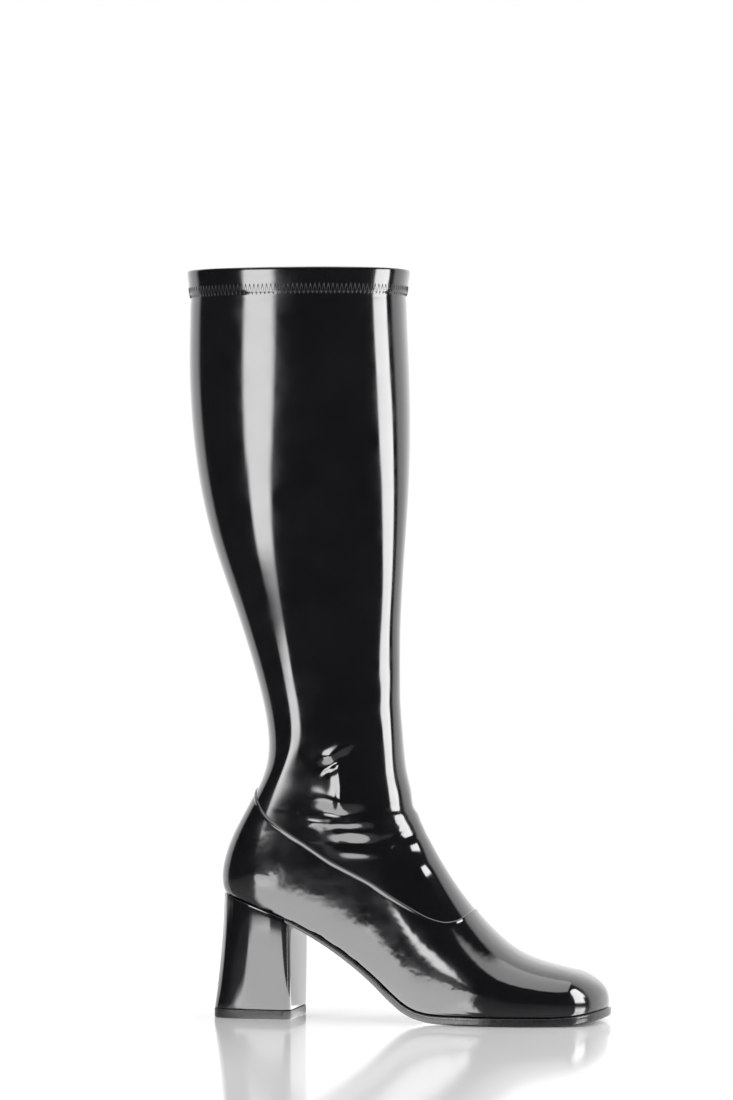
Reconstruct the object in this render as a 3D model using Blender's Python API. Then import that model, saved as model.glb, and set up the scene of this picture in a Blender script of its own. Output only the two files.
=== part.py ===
"""A right boot: calf-high stretch leg, foot upper, thin sole and a covered block heel.

Its upper is one surface through sections of the last. Each section is a closed ring in a plane
across the foot; the planes fan round the ankle, from upright at the toe to level at the collar.
The foot upper and the shaft are two walls cut from that surface along the seam between them.
Lengths are in metres. X runs to the toe, Y to the wearer's inner side, Z up from the floor.
"""

import math

import bmesh
import bpy
import numpy as np
from mathutils import Vector
from mathutils.bvhtree import BVHTree

# Driving sizes
BOTTOM_LENGTH = 0.2407  # back of the heel to the toe end of the last
BALL_WIDTH = 0.0850
HEEL_HEIGHT = 0.0760  # floor to the seat, at the back
INSTEP_RISE = 0.1240  # seat to the bend at the front of the ankle
TOE_DEPTH = 0.0270  # top of the toe box above the sole
TOE_DRIFT = 0.0050  # toe tip towards the inner side
NOSE_LENGTH = 0.0225  # rounded front of the toe
NOSE_UNDERCUT = 0.6  # under 1: the nose rounds up from below nearer its tip
NOSE_FULLNESS = 0.75  # under 1: it rounds down from above nearer its tip
NOSE_SLOPE = 0.20  # fall of its top, as behind it
BOOT_HEIGHT = 0.4530
ANKLE_DEPTH = 0.0810
ANKLE_WIDTH = 0.0640
ANKLE_FRONT = 0.4695  # share of the bottom length where the front of the ankle bends
NECK_NARROWING = 0.98  # the leg just above the ankle, in ankle widths
CALF_DEPTH = 0.1350
CALF_WIDTH = 0.0980
LEG_SQUARENESS = 2.2  # of the leg's sections, where 2 is an ellipse

FOOT_WALL = 0.0020
SHAFT_WALL = 0.0015
FOOT_PROUD = 0.0005  # the foot upper stands this far outside the shaft
SEAM_BEAD = 0.0005  # its folded top edge stands this much further out
SEAM_BEAD_WIDTH = 0.0030
HEM_HEIGHT = 0.0120
HEM_PROUD = 0.0005
HEM_FOLD = 0.0010  # the turned hem, inside the wall

FOREFOOT_THICKNESS = 0.0050
WAIST_THICKNESS = 0.0028
SOLE_EDGE = 0.0010  # the sole's edge outside the upper
SOLE_ROUNDING = 0.0012
TOE_SPRING = 0.0035
INSOLE_THICKNESS = 0.0030
INSOLE_CLEARANCE = 0.0013

HEEL_LENGTH = 0.0505
HEEL_WIDTH = 0.0490
HEEL_SQUARENESS = 4.4  # of the lift's round back
HEEL_TAPER = 0.14  # share of the width by which the lift narrows from breast to back
HEEL_FLARE = 1.6  # how the sides run from lift to seat: 1 is straight, more is hollow
HEEL_RIM = 0.0006  # the heel's top outside the upper
HEEL_RIM_ROUNDING = 0.0010
HEEL_CORNER = 0.0050  # rounding of the breast's two edges
SOLE_LAP = 0.0060  # the sole's end let into the top of the heel
LIFT_THICKNESS = 0.0056
GAP = 0.0003  # between pieces that touch
END_INSET = 0.0002  # an outline's first station lies this far inside its end
INSOLE_END_INSET = 0.0010

# Places that follow from them
HEEL_BACK = -HEEL_LENGTH / 2
BREAST = HEEL_LENGTH / 2
LAP_X = BREAST - SOLE_LAP
ANKLE_TOP = HEEL_HEIGHT + INSTEP_RISE
ROOT = 0.013  # how far the sections run on below the sole's top, to be cut off there
SQUARENESS_BLEND = 0.7  # radians either side of the widest level over which the squareness changes

# The sole's top line: share of the bottom length, share of the heel's rise
SOLE_LINE = (
    (0.000, 1.021),
    (0.097, 0.920),
    (0.213, 0.775),
    (0.277, 0.665),
    (0.330, 0.556),
    (0.383, 0.428),
    (0.425, 0.313),
    (0.480, 0.147),
    (0.508, 0.076),
    (0.540, 0.027),
    (0.580, 0.004),
    (0.620, 0.000),
    (1.100, 0.000),
)
SPRING_START = 0.87  # share of the bottom length where the sole leaves the floor
BALL_SHARE = 0.58  # where it first lies on the floor

# Sections of the foot, toe to seat. under, over: where the section's lowest and highest points are,
# as shares of the bottom length; heel, instep: the highest point's height, as shares of the heel
# height and the instep rise; toe: the same in toe depths; outer, inner: half widths as shares of
# the ball width; belly: how high the widest level is; low, high: squareness below and above it.
FOOT_COLUMNS = ("under", "over", "heel", "instep", "toe", "outer", "inner", "belly", "low", "high")
FOOT_ROWS = (
    (0.902, 0.902, 0.000, 0.000, 1.180, 0.436, 0.428, 0.50, 2.6, 2.3),
    (0.832, 0.832, 0.020, 0.000, 1.270, 0.490, 0.480, 0.46, 3.0, 2.3),
    (0.760, 0.760, 0.060, 0.090, 1.010, 0.506, 0.496, 0.40, 3.2, 2.2),
    (0.694, 0.690, 0.120, 0.240, 0.710, 0.500, 0.494, 0.36, 3.2, 2.1),
    (0.632, 0.626, 0.250, 0.440, 0.120, 0.474, 0.462, 0.32, 3.2, 2.0),
    (0.570, 0.575, 0.400, 0.525, 0.000, 0.440, 0.422, 0.30, 3.2, 2.0),
    (0.512, 0.531, 0.560, 0.585, 0.000, 0.404, 0.376, 0.32, 3.3, 2.0),
    (0.452, 0.501, 0.700, 0.640, 0.000, 0.372, 0.342, 0.36, 3.5, 2.0),
    (0.378, 0.483, 0.840, 0.720, 0.000, 0.354, 0.340, 0.42, 3.8, 2.0),
    (0.288, 0.476, 0.940, 0.810, 0.000, 0.356, 0.352, 0.48, 4.2, 2.0),
    (0.190, 0.472, 1.000, 0.870, 0.000, 0.362, 0.362, 0.54, 4.6, 2.0),
    (0.108, 0.470, 1.000, 0.935, 0.000, 0.366, 0.366, 0.58, 4.4, 2.0),
)

# Sections round the heel, seat to ankle. back, up: the section's point on the heel, as a share of
# the bottom length and, above the seat, of the instep rise; over, above: its point on the shin, as a
# share of the bottom length and of the instep rise; wide: half width as a share of the ankle width.
HEEL_COLUMNS = ("back", "up", "over", "above", "wide", "belly", "low", "high")
HEEL_ROWS = (
    (0.055, -0.080, ANKLE_FRONT, 0.985, 0.488, 0.60, 3.6, 2.0),
    (0.024, 0.000, ANKLE_FRONT, 1.025, 0.490, 0.60, 2.8, 2.0),
    (0.018, 0.105, ANKLE_FRONT, 1.065, 0.492, 0.58, 2.4, 2.0),
    (0.038, 0.244, ANKLE_FRONT, 1.115, 0.494, 0.54, 2.2, 2.0),
    (0.078, 0.390, ANKLE_FRONT, 1.180, 0.496, 0.47, 2.1, 2.05),
    (0.119, 0.540, 0.4697, 1.260, 0.496, 0.39, 2.1, 2.1),
    (0.138, 0.680, 0.4710, 1.350, 0.494, 0.33, 2.15, 2.15),
)

# Sections of the leg. back_up, front_up: heights of the section's back and front points, as shares
# of the way from the heel's neck and from the ankle bend to the collar; back, front: how far the
# leg has spread there, as shares of what the calf is deeper than the ankle; wide: share of what
# it is wider.
LEG_COLUMNS = ("back_up", "front_up", "back", "front", "wide", "belly")
LEG_ROWS = (
    (0.055, 0.230, 0.010, 0.020, 0.01, 0.31),
    (0.165, 0.315, 0.160, 0.044, 0.10, 0.34),
    (0.290, 0.410, 0.375, 0.075, 0.34, 0.39),
    (0.435, 0.510, 0.645, 0.098, 0.66, 0.45),
    (0.600, 0.640, 0.825, 0.106, 0.90, 0.50),
    (0.780, 0.785, 0.900, 0.088, 0.99, 0.53),
    (0.940, 0.936, 0.885, 0.056, 0.97, 0.54),
    (1.000, 1.000, 0.915, 0.095, 1.00, 0.54),
)
NECK_SHARE = 0.740  # height of the heel's neck in the instep rise

# The seam between foot and leg, seen from the side: share of the bottom length, share of the
# heel height, share of the instep rise
SEAM_LINE = (
    (0.096, 1.000, 0.556),
    (0.113, 1.000, 0.512),
    (0.130, 1.000, 0.452),
    (0.149, 1.000, 0.398),
    (0.180, 1.000, 0.347),
    (0.241, 0.980, 0.283),
    (0.336, 0.900, 0.216),
    (0.418, 0.800, 0.197),
    (0.484, 0.680, 0.190),
    (0.551, 0.550, 0.195),
    (0.603, 0.450, 0.219),
    (0.635, 0.400, 0.254),
    (0.650, 0.380, 0.285),
    (0.660, 0.370, 0.315),
)

# How finely the pieces are divided
AROUND = 48  # points of a ring
DENSE = 200  # points of half a ring before they are spaced
CLOSE_AT = 0.36  # share of half a ring at which the loft's lines cross the seam at a slant
CLOSE_WIDTH = 0.09
CLOSE_GAIN = 1.2  # how much closer together the points are there
SLIDE = 0.16  # how far the points slide up a ring, as a share of half of it
FOOT_RINGS = 27
SHAFT_RINGS = 17
NOSE_ANGLES = (7, 20, 34, 49, 64, 78)  # degrees of the quarter ellipse
BEAD_LEVELS = (1.3, 1.0, 0.0)  # rings at the seam's bead, in bead widths below the seam
NOSE_STATIONS = 9
SOLE_STATIONS = 28
INSOLE_STATIONS = 34
HEEL_STATIONS = 13
CORNER_STATIONS = (0.0, 0.08, 0.3, 0.62)  # shares of the breast's rounding
HEEL_LEVELS = (0.0, 0.2, 0.42, 0.7, 1.0)  # shares of the heel's height
CUTTER_STATIONS = 101
LAP_STATIONS = 7
SLOPE_STEP = 0.0005  # metres over which a slope is read
SHARP_DEGREES = 40


def along(share):
    return HEEL_BACK + share * BOTTOM_LENGTH


def smooth(table, at):
    """A smooth curve through the table's rows, read at the first column's value."""
    rows = np.array(table, float)
    x = rows[:, 0]
    rates = np.diff(rows[:, 1:], axis=0) / np.diff(x)[:, None]
    slopes = np.zeros_like(rows[:, 1:])
    before, after = rates[:-1], rates[1:]
    total = np.where(before * after > 0, before + after, 1.0)
    slopes[1:-1] = np.where(before * after > 0, 2 * before * after / total, 0.0)
    slopes[0], slopes[-1] = rates[0], rates[-1]
    i = np.clip(np.searchsorted(x, at, side="right") - 1, 0, len(x) - 2)
    width = x[i + 1] - x[i]
    t = np.clip((at - x[i]) / width, 0.0, 1.0)
    start, end = rows[i, 1:], rows[i + 1, 1:]
    return (
        (2 * t**3 - 3 * t**2 + 1) * start
        + (t**3 - 2 * t**2 + t) * width * slopes[i]
        + (3 * t**2 - 2 * t**3) * end
        + (t**3 - t**2) * width * slopes[i + 1]
    )


def seat_line(x):
    """Height of the sole's upper face from seat to ball, running on level to the toe."""
    rise = smooth(SOLE_LINE, (x - HEEL_BACK) / BOTTOM_LENGTH)[0]
    return FOREFOOT_THICKNESS + rise * (HEEL_HEIGHT - FOREFOOT_THICKNESS)


def sole_top(x):
    """Height of the sole's upper face, with the toe spring."""
    lifted = max(0.0, (x - HEEL_BACK) / BOTTOM_LENGTH - SPRING_START) / (1 - SPRING_START)
    return seat_line(x) + TOE_SPRING * lifted**2


def forefoot_share(x):
    """0 at the breast, 1 at the ball and in front of it."""
    return min(max((x - BREAST) / (along(BALL_SHARE) - BREAST), 0.0), 1.0)


def sole_bottom(x):
    """Height of the sole's lower face: the sole thins from the forefoot to the breast."""
    slope = (seat_line(x + SLOPE_STEP) - seat_line(x - SLOPE_STEP)) / (2 * SLOPE_STEP)
    thick = WAIST_THICKNESS + (FOREFOOT_THICKNESS - WAIST_THICKNESS) * forefoot_share(x)
    return sole_top(x) - thick * math.hypot(1.0, slope)


def seam_height(x):
    """Height of the seam seen from the side; past its ends it runs on straight."""
    first, last = along(SEAM_LINE[0][0]), along(SEAM_LINE[-1][0])
    inside = min(max(x, first + SLOPE_STEP), last - SLOPE_STEP)

    def height(at):
        heel, instep = smooth(SEAM_LINE, (at - HEEL_BACK) / BOTTOM_LENGTH)
        return heel * HEEL_HEIGHT + instep * INSTEP_RISE

    slope = (height(inside + SLOPE_STEP) - height(inside - SLOPE_STEP)) / (2 * SLOPE_STEP)
    return height(inside) + slope * (x - inside), slope


def section(back, front, drift, outer, inner, belly, low, high):
    """One row of the loft: its two end points in the XZ plane and the ring's shape values."""
    return np.array((*back, *front, drift, outer, inner, belly, low, high))


def foot_sections():
    for values in FOOT_ROWS:
        row = dict(zip(FOOT_COLUMNS, values))
        x = along(row["under"])
        top = row["heel"] * HEEL_HEIGHT + row["instep"] * INSTEP_RISE + row["toe"] * TOE_DEPTH
        yield section(
            (x, sole_top(x) - ROOT),
            (along(row["over"]), top),
            0.0,
            row["outer"] * BALL_WIDTH,
            row["inner"] * BALL_WIDTH,
            row["belly"],
            row["low"],
            row["high"],
        )


def nose_sections(base):
    """The toe's round front: the base section shrinks along a quarter ellipse to its tip."""
    tip = (base[0] + NOSE_LENGTH, base[1] + base[7] * (base[3] - base[1]))
    for degrees in NOSE_ANGLES:
        size = math.sin(math.radians(degrees))
        row = base.copy()
        reach = NOSE_LENGTH * math.cos(math.radians(degrees))
        row[0] = row[2] = base[0] + reach
        row[1] = tip[1] + (base[1] - tip[1]) * size**NOSE_UNDERCUT
        row[3] = tip[1] + (base[3] - tip[1] - NOSE_SLOPE * reach) * size**NOSE_FULLNESS
        row[4] = TOE_DRIFT * (reach / NOSE_LENGTH) ** 2
        row[5] = base[5] * size
        row[6] = base[6] * size
        row[8] = row[9] = 2.0 + (base[8] - 2.0) * size
        yield row


def heel_sections():
    for values in HEEL_ROWS:
        row = dict(zip(HEEL_COLUMNS, values))
        half = row["wide"] * ANKLE_WIDTH
        yield section(
            (along(row["back"]), HEEL_HEIGHT + row["up"] * INSTEP_RISE),
            (along(row["over"]), HEEL_HEIGHT + row["above"] * INSTEP_RISE),
            0.0,
            half,
            half,
            row["belly"],
            row["low"],
            row["high"],
        )


def leg_sections():
    front_x = along(ANKLE_FRONT)
    back_x = front_x - ANKLE_DEPTH
    neck = HEEL_HEIGHT + NECK_SHARE * INSTEP_RISE
    deeper = CALF_DEPTH - ANKLE_DEPTH
    neck_width = NECK_NARROWING * ANKLE_WIDTH
    wider = CALF_WIDTH - ANKLE_WIDTH
    for values in LEG_ROWS:
        row = dict(zip(LEG_COLUMNS, values))
        half = (neck_width + row["wide"] * wider) / 2
        yield section(
            (back_x - row["back"] * deeper, neck + row["back_up"] * (BOOT_HEIGHT - neck)),
            (
                front_x + row["front"] * deeper,
                ANKLE_TOP + row["front_up"] * (BOOT_HEIGHT - ANKLE_TOP),
            ),
            0.0,
            half,
            half,
            row["belly"],
            LEG_SQUARENESS,
            LEG_SQUARENESS,
        )


def all_sections():
    foot = list(foot_sections())
    nose = list(nose_sections(foot[0]))
    return np.array([*nose, *foot, *heel_sections(), *leg_sections()])


SECTIONS = all_sections()
LAST = len(SECTIONS) - 1  # the collar's place along the loft
SLIDE_START = len(NOSE_ANGLES) + 6  # places between which the points slide
SLIDE_END = len(NOSE_ANGLES) + 13


def section_at(place):
    """The section at any place along the loft, on a smooth curve through the rows."""
    i = int(min(max(math.floor(place), 0), LAST - 1))
    t = place - i
    p1, p2 = SECTIONS[i], SECTIONS[i + 1]
    m1 = (p2 - SECTIONS[i - 1]) / 2 if i > 0 else p2 - p1
    m2 = (SECTIONS[i + 2] - p1) / 2 if i + 2 <= LAST else p2 - p1
    return (
        (2 * t**3 - 3 * t**2 + 1) * p1
        + (t**3 - 2 * t**2 + t) * m1
        + (3 * t**2 - 2 * t**3) * p2
        + (t**3 - t**2) * m2
    )


def point_shares():
    """Where a ring's points lie along half of it: closer together beside the seam."""
    at = np.linspace(0.0, 1.0, DENSE)
    density = 1 + CLOSE_GAIN * np.exp(-(((at - CLOSE_AT) / CLOSE_WIDTH) ** 2))
    run = np.concatenate(([0.0], np.cumsum((density[1:] + density[:-1]) / 2)))
    return np.interp(np.linspace(0.0, run[-1], AROUND // 2 + 1), run, at)


POINT_SHARES = point_shares()


def shares_at(place):
    """The points slide up the rings towards the heel, so that the loft's lines cross the seam."""
    t = min(max((place - SLIDE_START) / (SLIDE_END - SLIDE_START), 0.0), 1.0)
    return POINT_SHARES + SLIDE * t * t * (3 - 2 * t) * np.sin(math.pi * POINT_SHARES)


def half_ring(row, side, shares):
    """Points of one side of a section's ring, back to front, at the shares of its length."""
    bx, bz, fx, fz, drift, outer, inner, belly, low, high = row
    half = outer if side < 0 else inner
    length = math.hypot(fx - bx, fz - bz)
    angle = np.linspace(-math.pi / 2, math.pi / 2, DENSE)
    share = np.clip((angle / SQUARENESS_BLEND + 1) / 2, 0.0, 1.0)
    power = low + (high - low) * share * share * (3 - 2 * share)
    reach = np.where(angle < 0, belly, 1 - belly) * length
    across = half * np.abs(np.cos(angle)) ** (2 / power)
    up = belly * length + reach * np.sign(angle) * np.abs(np.sin(angle)) ** (2 / power)
    points = np.stack(
        (
            bx + (fx - bx) * up / length,
            drift + side * across,
            bz + (fz - bz) * up / length,
        ),
        axis=1,
    )
    steps = np.linalg.norm(np.diff(points, axis=0), axis=1)
    run = np.concatenate(([0.0], np.cumsum(steps)))
    stops = run[-1] * shares
    return np.stack([np.interp(stops, run, points[:, k]) for k in range(3)], axis=1)


def ring(place):
    """A closed ring: up the outer side from the back point to the front point, down the inner."""
    row = section_at(place)
    shares = shares_at(place)
    outer = half_ring(row, -1, shares)
    inner = half_ring(row, 1, shares)
    return np.concatenate((outer[:-1], inner[:0:-1]))


def surface(places):
    """Points of the loft where places holds, for each ring, the place of each of its points."""
    cache = {}
    grid = np.empty((len(places), AROUND, 3))
    for i, line in enumerate(places):
        for j, place in enumerate(line):
            key = round(float(place), 9)
            if key not in cache:
                cache[key] = ring(key)
            grid[i, j] = cache[key][j]
    return grid


def above_seam(point, shift):
    """Whether a point lies on the leg's side of a line that runs beside the seam, shift above it."""
    height, slope = seam_height(point[0])
    return point[2] > height + shift * math.hypot(1.0, slope)


def seam_places(shift):
    """Where each of the loft's lines crosses the line that runs beside the seam."""
    coarse = np.linspace(0, LAST, 2 * LAST + 1)
    rings = [ring(p) for p in coarse]
    found = []
    for j in range(AROUND):
        first = next(i for i in range(len(coarse)) if above_seam(rings[i][j], shift))
        low, high = coarse[first - 1], coarse[first]
        for _ in range(16):
            middle = (low + high) / 2
            if above_seam(ring(middle)[j], shift):
                high = middle
            else:
                low = middle
        found.append((low + high) / 2)
    return np.array(found)


def normals(grid):
    """Outward directions at a grid's points."""
    on = np.gradient(grid, axis=0)
    round_it = (np.roll(grid, -1, axis=1) - np.roll(grid, 1, axis=1)) / 2
    out = np.cross(round_it, on)
    return out / np.linalg.norm(out, axis=2, keepdims=True)


def shell(name, grid, outward, inward, material, closed_start):
    """A wall from one grid: an outer and an inner face, joined at the rims.

    outward and inward hold, for each ring, how far each face lies from the grid. With
    closed_start, the first ring is a small cap over a closed end."""
    way = normals(grid)
    outer = grid + way * np.asarray(outward)[:, None, None]
    inner = grid - way * np.asarray(inward)[:, None, None]
    rings, count = grid.shape[:2]
    bm = bmesh.new()
    faces_of = []
    for layer in (outer, inner):
        faces_of.append([[bm.verts.new(p) for p in line] for line in layer])
    out, inn = faces_of
    for i in range(rings - 1):
        for j in range(count):
            k = (j + 1) % count
            bm.faces.new((out[i][j], out[i][k], out[i + 1][k], out[i + 1][j]))
            bm.faces.new((inn[i][j], inn[i + 1][j], inn[i + 1][k], inn[i][k]))
    rims = [rings - 1] if closed_start else [0, rings - 1]
    for i in rims:
        for j in range(count):
            k = (j + 1) % count
            bm.faces.new((out[i][j], out[i][k], inn[i][k], inn[i][j]))
    if closed_start:
        bm.faces.new(out[0])
        bm.faces.new(inn[0])
    return finish(name, bm, material)


def finish(name, bm, material):
    bmesh.ops.recalc_face_normals(bm, faces=bm.faces)
    mesh = bpy.data.meshes.new(name)
    bm.to_mesh(mesh)
    bm.free()
    mesh.shade_smooth()
    mesh.set_sharp_from_angle(angle=math.radians(SHARP_DEGREES))
    piece = bpy.data.objects.new(name, mesh)
    if material is None:
        piece.hide_render = True
        piece.display_type = "WIRE"
        CUTTERS.objects.link(piece)
    else:
        mesh.materials.append(material)
        BOOT.objects.link(piece)
    return piece


def cut(piece, cutter):
    step = piece.modifiers.new("cut", "BOOLEAN")
    step.operation = "DIFFERENCE"
    step.object = cutter


def prism_across(name, outline, half_width):
    """A cutter: an outline in the XZ plane, run across the boot."""
    bm = bmesh.new()
    near = [bm.verts.new((x, -half_width, z)) for x, z in outline]
    far = [bm.verts.new((x, half_width, z)) for x, z in outline]
    bm.faces.new(near)
    bm.faces.new(far)
    for i in range(len(outline)):
        k = (i + 1) % len(outline)
        bm.faces.new((near[i], near[k], far[k], far[i]))
    return finish(name, bm, None)


def plate(name, loops, material):
    """A solid through loops, bottom first. A loop is a list of pairs of points, outer and inner
    side, from its front to its back; its ends are closed straight across."""
    bm = bmesh.new()
    made = [[(bm.verts.new(a), bm.verts.new(b)) for a, b in loop] for loop in loops]
    for below, over in zip(made, made[1:]):
        for k in range(len(below) - 1):
            for side in (0, 1):
                bm.faces.new((below[k][side], below[k + 1][side], over[k + 1][side], over[k][side]))
        for k in (0, len(below) - 1):
            bm.faces.new((below[k][0], below[k][1], over[k][1], over[k][0]))
    for loop in (made[0], made[-1]):
        for k in range(len(loop) - 1):
            bm.faces.new((loop[k][0], loop[k][1], loop[k + 1][1], loop[k + 1][0]))
    return finish(name, bm, material)


class Form:
    """The loft as a closed body that can be measured: its outline where the sole's top meets it."""

    def __init__(self):
        places = np.repeat(np.linspace(0, LAST, 3 * LAST)[:, None], AROUND, axis=1)
        grid = surface(places)
        vertices = [Vector(p) for p in grid.reshape(-1, 3)]
        faces = [
            (
                i * AROUND + j,
                i * AROUND + (j + 1) % AROUND,
                (i + 1) * AROUND + (j + 1) % AROUND,
                (i + 1) * AROUND + j,
            )
            for i in range(len(grid) - 1)
            for j in range(AROUND)
        ]
        faces.append(tuple(range(AROUND)))
        self.tree = BVHTree.FromPolygons(vertices, faces)
        self.nose = along(FOOT_ROWS[0][0])
        self.tip = self.meet((self.nose, TOE_DRIFT, sole_top(self.nose + NOSE_LENGTH)), (1, 0, 0)).x
        self.back = self.meet((BREAST, 0, sole_top(HEEL_BACK)), (-1, 0, 0)).x

    def meet(self, start, way):
        return self.tree.ray_cast(Vector(start), Vector(way))[0]

    def middle(self, x):
        reach = max(0.0, x - self.nose) / NOSE_LENGTH
        return TOE_DRIFT * reach**2

    def sides(self, x):
        """Y of the form's outer and inner side on the sole's top at x."""
        centre = self.middle(x)
        start = (x, centre, sole_top(x))
        found = [self.meet(start, (0, side, 0)) for side in (-1, 1)]
        return [centre if hit is None else hit.y for hit in found]

    def outline(self, stations, offset):
        """Pairs of points round the form's outline at the stations, moved outward by offset(x)."""
        pairs = [[(x, y) for y in self.sides(x)] for x in stations]
        loop = [p[0] for p in pairs] + [p[1] for p in pairs[::-1]]
        moved = []
        for i, (x, y) in enumerate(loop):
            px, py = loop[i - 1]
            qx, qy = loop[(i + 1) % len(loop)]
            length = math.hypot(qx - px, qy - py)
            nx, ny = (qy - py) / length, (px - qx) / length
            moved.append((x - nx * offset(x), y - ny * offset(x)))
        half = len(pairs)
        return [(moved[k], moved[-1 - k]) for k in range(half)]


def cosine_stations(start, end, count, round_start, round_end):
    """Places from start to end, closer together at an end that is round."""
    t = np.linspace(0, 1, count)
    if round_start and round_end:
        t = (1 - np.cos(math.pi * t)) / 2
    elif round_start:
        t = 1 - np.cos(math.pi / 2 * t)
    elif round_end:
        t = np.sin(math.pi / 2 * t)
    return start + (end - start) * t


def raised(outline, height):
    return [tuple((x, y, height(x)) for x, y in pair) for pair in outline]


def straight_end(outline, x):
    """The same outline with its last pair set on x, where a piece is cut off square."""
    (_, outer), (_, inner) = outline[-1]
    return [*outline[:-1], ((x, outer), (x, inner))]


def make_foot_upper(material):
    beside = [GAP / 2 + SEAM_BEAD_WIDTH * level for level in BEAD_LEVELS]
    edge = [seam_places(-shift) for shift in beside]
    body = np.linspace(0, 1, FOOT_RINGS)[:-1, None] * edge[0][None, :]
    places = np.concatenate((body, edge))
    outward = np.full(len(places), FOOT_PROUD)
    outward[-2:] += SEAM_BEAD
    inward = np.full(len(places), FOOT_WALL - FOOT_PROUD)
    upper = shell("foot_upper", surface(places), outward, inward, material, True)
    ends = along(-0.2), along(1.2)
    line = [(x, sole_top(x) + GAP) for x in np.linspace(*ends, CUTTER_STATIONS)]
    outline = [*line, (ends[1], -3 * ROOT), (ends[0], -3 * ROOT)]
    cut(upper, prism_across("under_sole_cutter", outline, BALL_WIDTH))
    return upper


def make_shaft(material):
    run = np.linalg.norm(ring(LAST) - ring(LAST - 0.1), axis=1).mean() / 0.1
    hem = LAST - HEM_HEIGHT / run
    fractions = np.linspace(0, 1, SHAFT_RINGS)[:, None]
    places = seam_places(GAP / 2) * (1 - fractions) + (hem - 2 * HEM_PROUD / run) * fractions
    level = np.ones((3, AROUND)) * np.array([[hem], [(hem + LAST) / 2], [LAST]])
    places = np.concatenate((places, level))
    outward = np.zeros(len(places))
    outward[-3:] = HEM_PROUD
    inward = np.full(len(places), SHAFT_WALL)
    inward[-3:] = SHAFT_WALL + HEM_FOLD
    return shell("shaft", surface(places), outward, inward, material, False)


def make_outsole(form, material):
    def edge(x):
        return FOOT_PROUD + SOLE_EDGE * forefoot_share(x)

    nose = cosine_stations(form.tip - END_INSET, form.nose, NOSE_STATIONS, True, False)
    stations = np.concatenate((nose, np.linspace(form.nose, LAP_X, SOLE_STATIONS)[1:]))
    full = straight_end(form.outline(stations, edge), LAP_X)
    rounded = form.outline(stations, lambda x: edge(x) - SOLE_ROUNDING)
    rounded = straight_end(rounded, LAP_X)
    loops = [
        raised(rounded, sole_bottom),
        raised(full, lambda x: sole_bottom(x) + SOLE_ROUNDING),
        raised(full, sole_top),
    ]
    return plate("outsole", loops, material)


def make_insole(form, material):
    inset = FOOT_PROUD - FOOT_WALL - INSOLE_CLEARANCE
    ends = form.tip - INSOLE_END_INSET, form.back + INSOLE_END_INSET
    stations = cosine_stations(*ends, INSOLE_STATIONS, True, True)
    outline = form.outline(stations, lambda x: inset)
    loops = [
        raised(outline, lambda x: sole_top(x) + GAP),
        raised(outline, lambda x: sole_top(x) + GAP + INSOLE_THICKNESS),
    ]
    return plate("insole", loops, material)


def heel_stations(back):
    """From the breast to the back: close together in the breast's rounded edge and at the back."""
    corner = [BREAST - HEEL_CORNER * share for share in CORNER_STATIONS]
    rest = cosine_stations(BREAST - HEEL_CORNER, back, HEEL_STATIONS, False, True)
    return [*corner, *rest]


def corner_inset(x):
    inside = max(0.0, x - (BREAST - HEEL_CORNER))
    return HEEL_CORNER - math.sqrt(max(HEEL_CORNER**2 - inside**2, 0.0))


def lift_outline():
    """The lift's outline: straight breast, sides that close in a round back."""
    pairs = []
    for x in heel_stations(HEEL_BACK + END_INSET):
        share = (BREAST - x) / HEEL_LENGTH
        round_back = (1 - share**HEEL_SQUARENESS) ** (1 / HEEL_SQUARENESS)
        half = HEEL_WIDTH / 2 * round_back * (1 - HEEL_TAPER * share) - corner_inset(x)
        pairs.append(((x, -half), (x, half)))
    return pairs


def seat_outline(form):
    """The heel's top outline: the upper's own, a rim's width outside it, with the breast's corners."""
    outline = form.outline(heel_stations(form.back + END_INSET), lambda x: FOOT_PROUD + HEEL_RIM)
    pairs = []
    for (x, outer), (_, inner) in outline:
        x = min(x, BREAST)
        pairs.append(((x, outer + corner_inset(x)), (x, inner - corner_inset(x))))
    return pairs


def heel_loop(low, top, share):
    """The heel's outline at a share of the way from the lift to the seat."""
    base = LIFT_THICKNESS + GAP
    bend = 1 - (1 - share) ** HEEL_FLARE
    loop = []
    for pair_low, pair_top in zip(low, top):
        pair = []
        for (x_low, y_low), (x_top, y_top) in zip(pair_low, pair_top):
            x = x_low + (x_top - x_low) * bend
            y = y_low + (y_top - y_low) * bend
            height = sole_top(x) - HEEL_RIM_ROUNDING - base
            pair.append((x, y, base + height * share))
        loop.append(tuple(pair))
    return loop


def rounded_rim(top):
    """The seat's outline drawn in by the rim's rounding, on the line of the sole's top."""
    shrink = 1 - HEEL_RIM_ROUNDING / HEEL_WIDTH
    loop = []
    for pair in top:
        loop.append(
            tuple((x + HEEL_RIM_ROUNDING / 2 * (x < 0), y * shrink, sole_top(x)) for x, y in pair)
        )
    return loop


def make_heel(form, material):
    low, top = lift_outline(), seat_outline(form)
    loops = [heel_loop(low, top, share) for share in HEEL_LEVELS]
    heel = plate("heel", [*loops, rounded_rim(top)], material)
    start, end = LAP_X - GAP, BREAST + HEEL_LENGTH / 2
    line = [(x, sole_bottom(x) - GAP) for x in np.linspace(start, end, LAP_STATIONS)]
    outline = [*line, (end, HEEL_HEIGHT + ROOT), (start, HEEL_HEIGHT + ROOT)]
    cut(heel, prism_across("sole_lap_cutter", outline, BALL_WIDTH))
    return heel


def make_top_lift(material):
    outline = lift_outline()
    loops = [raised(outline, lambda x: 0.0), raised(outline, lambda x: LIFT_THICKNESS)]
    return plate("top_lift", loops, material)


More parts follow.
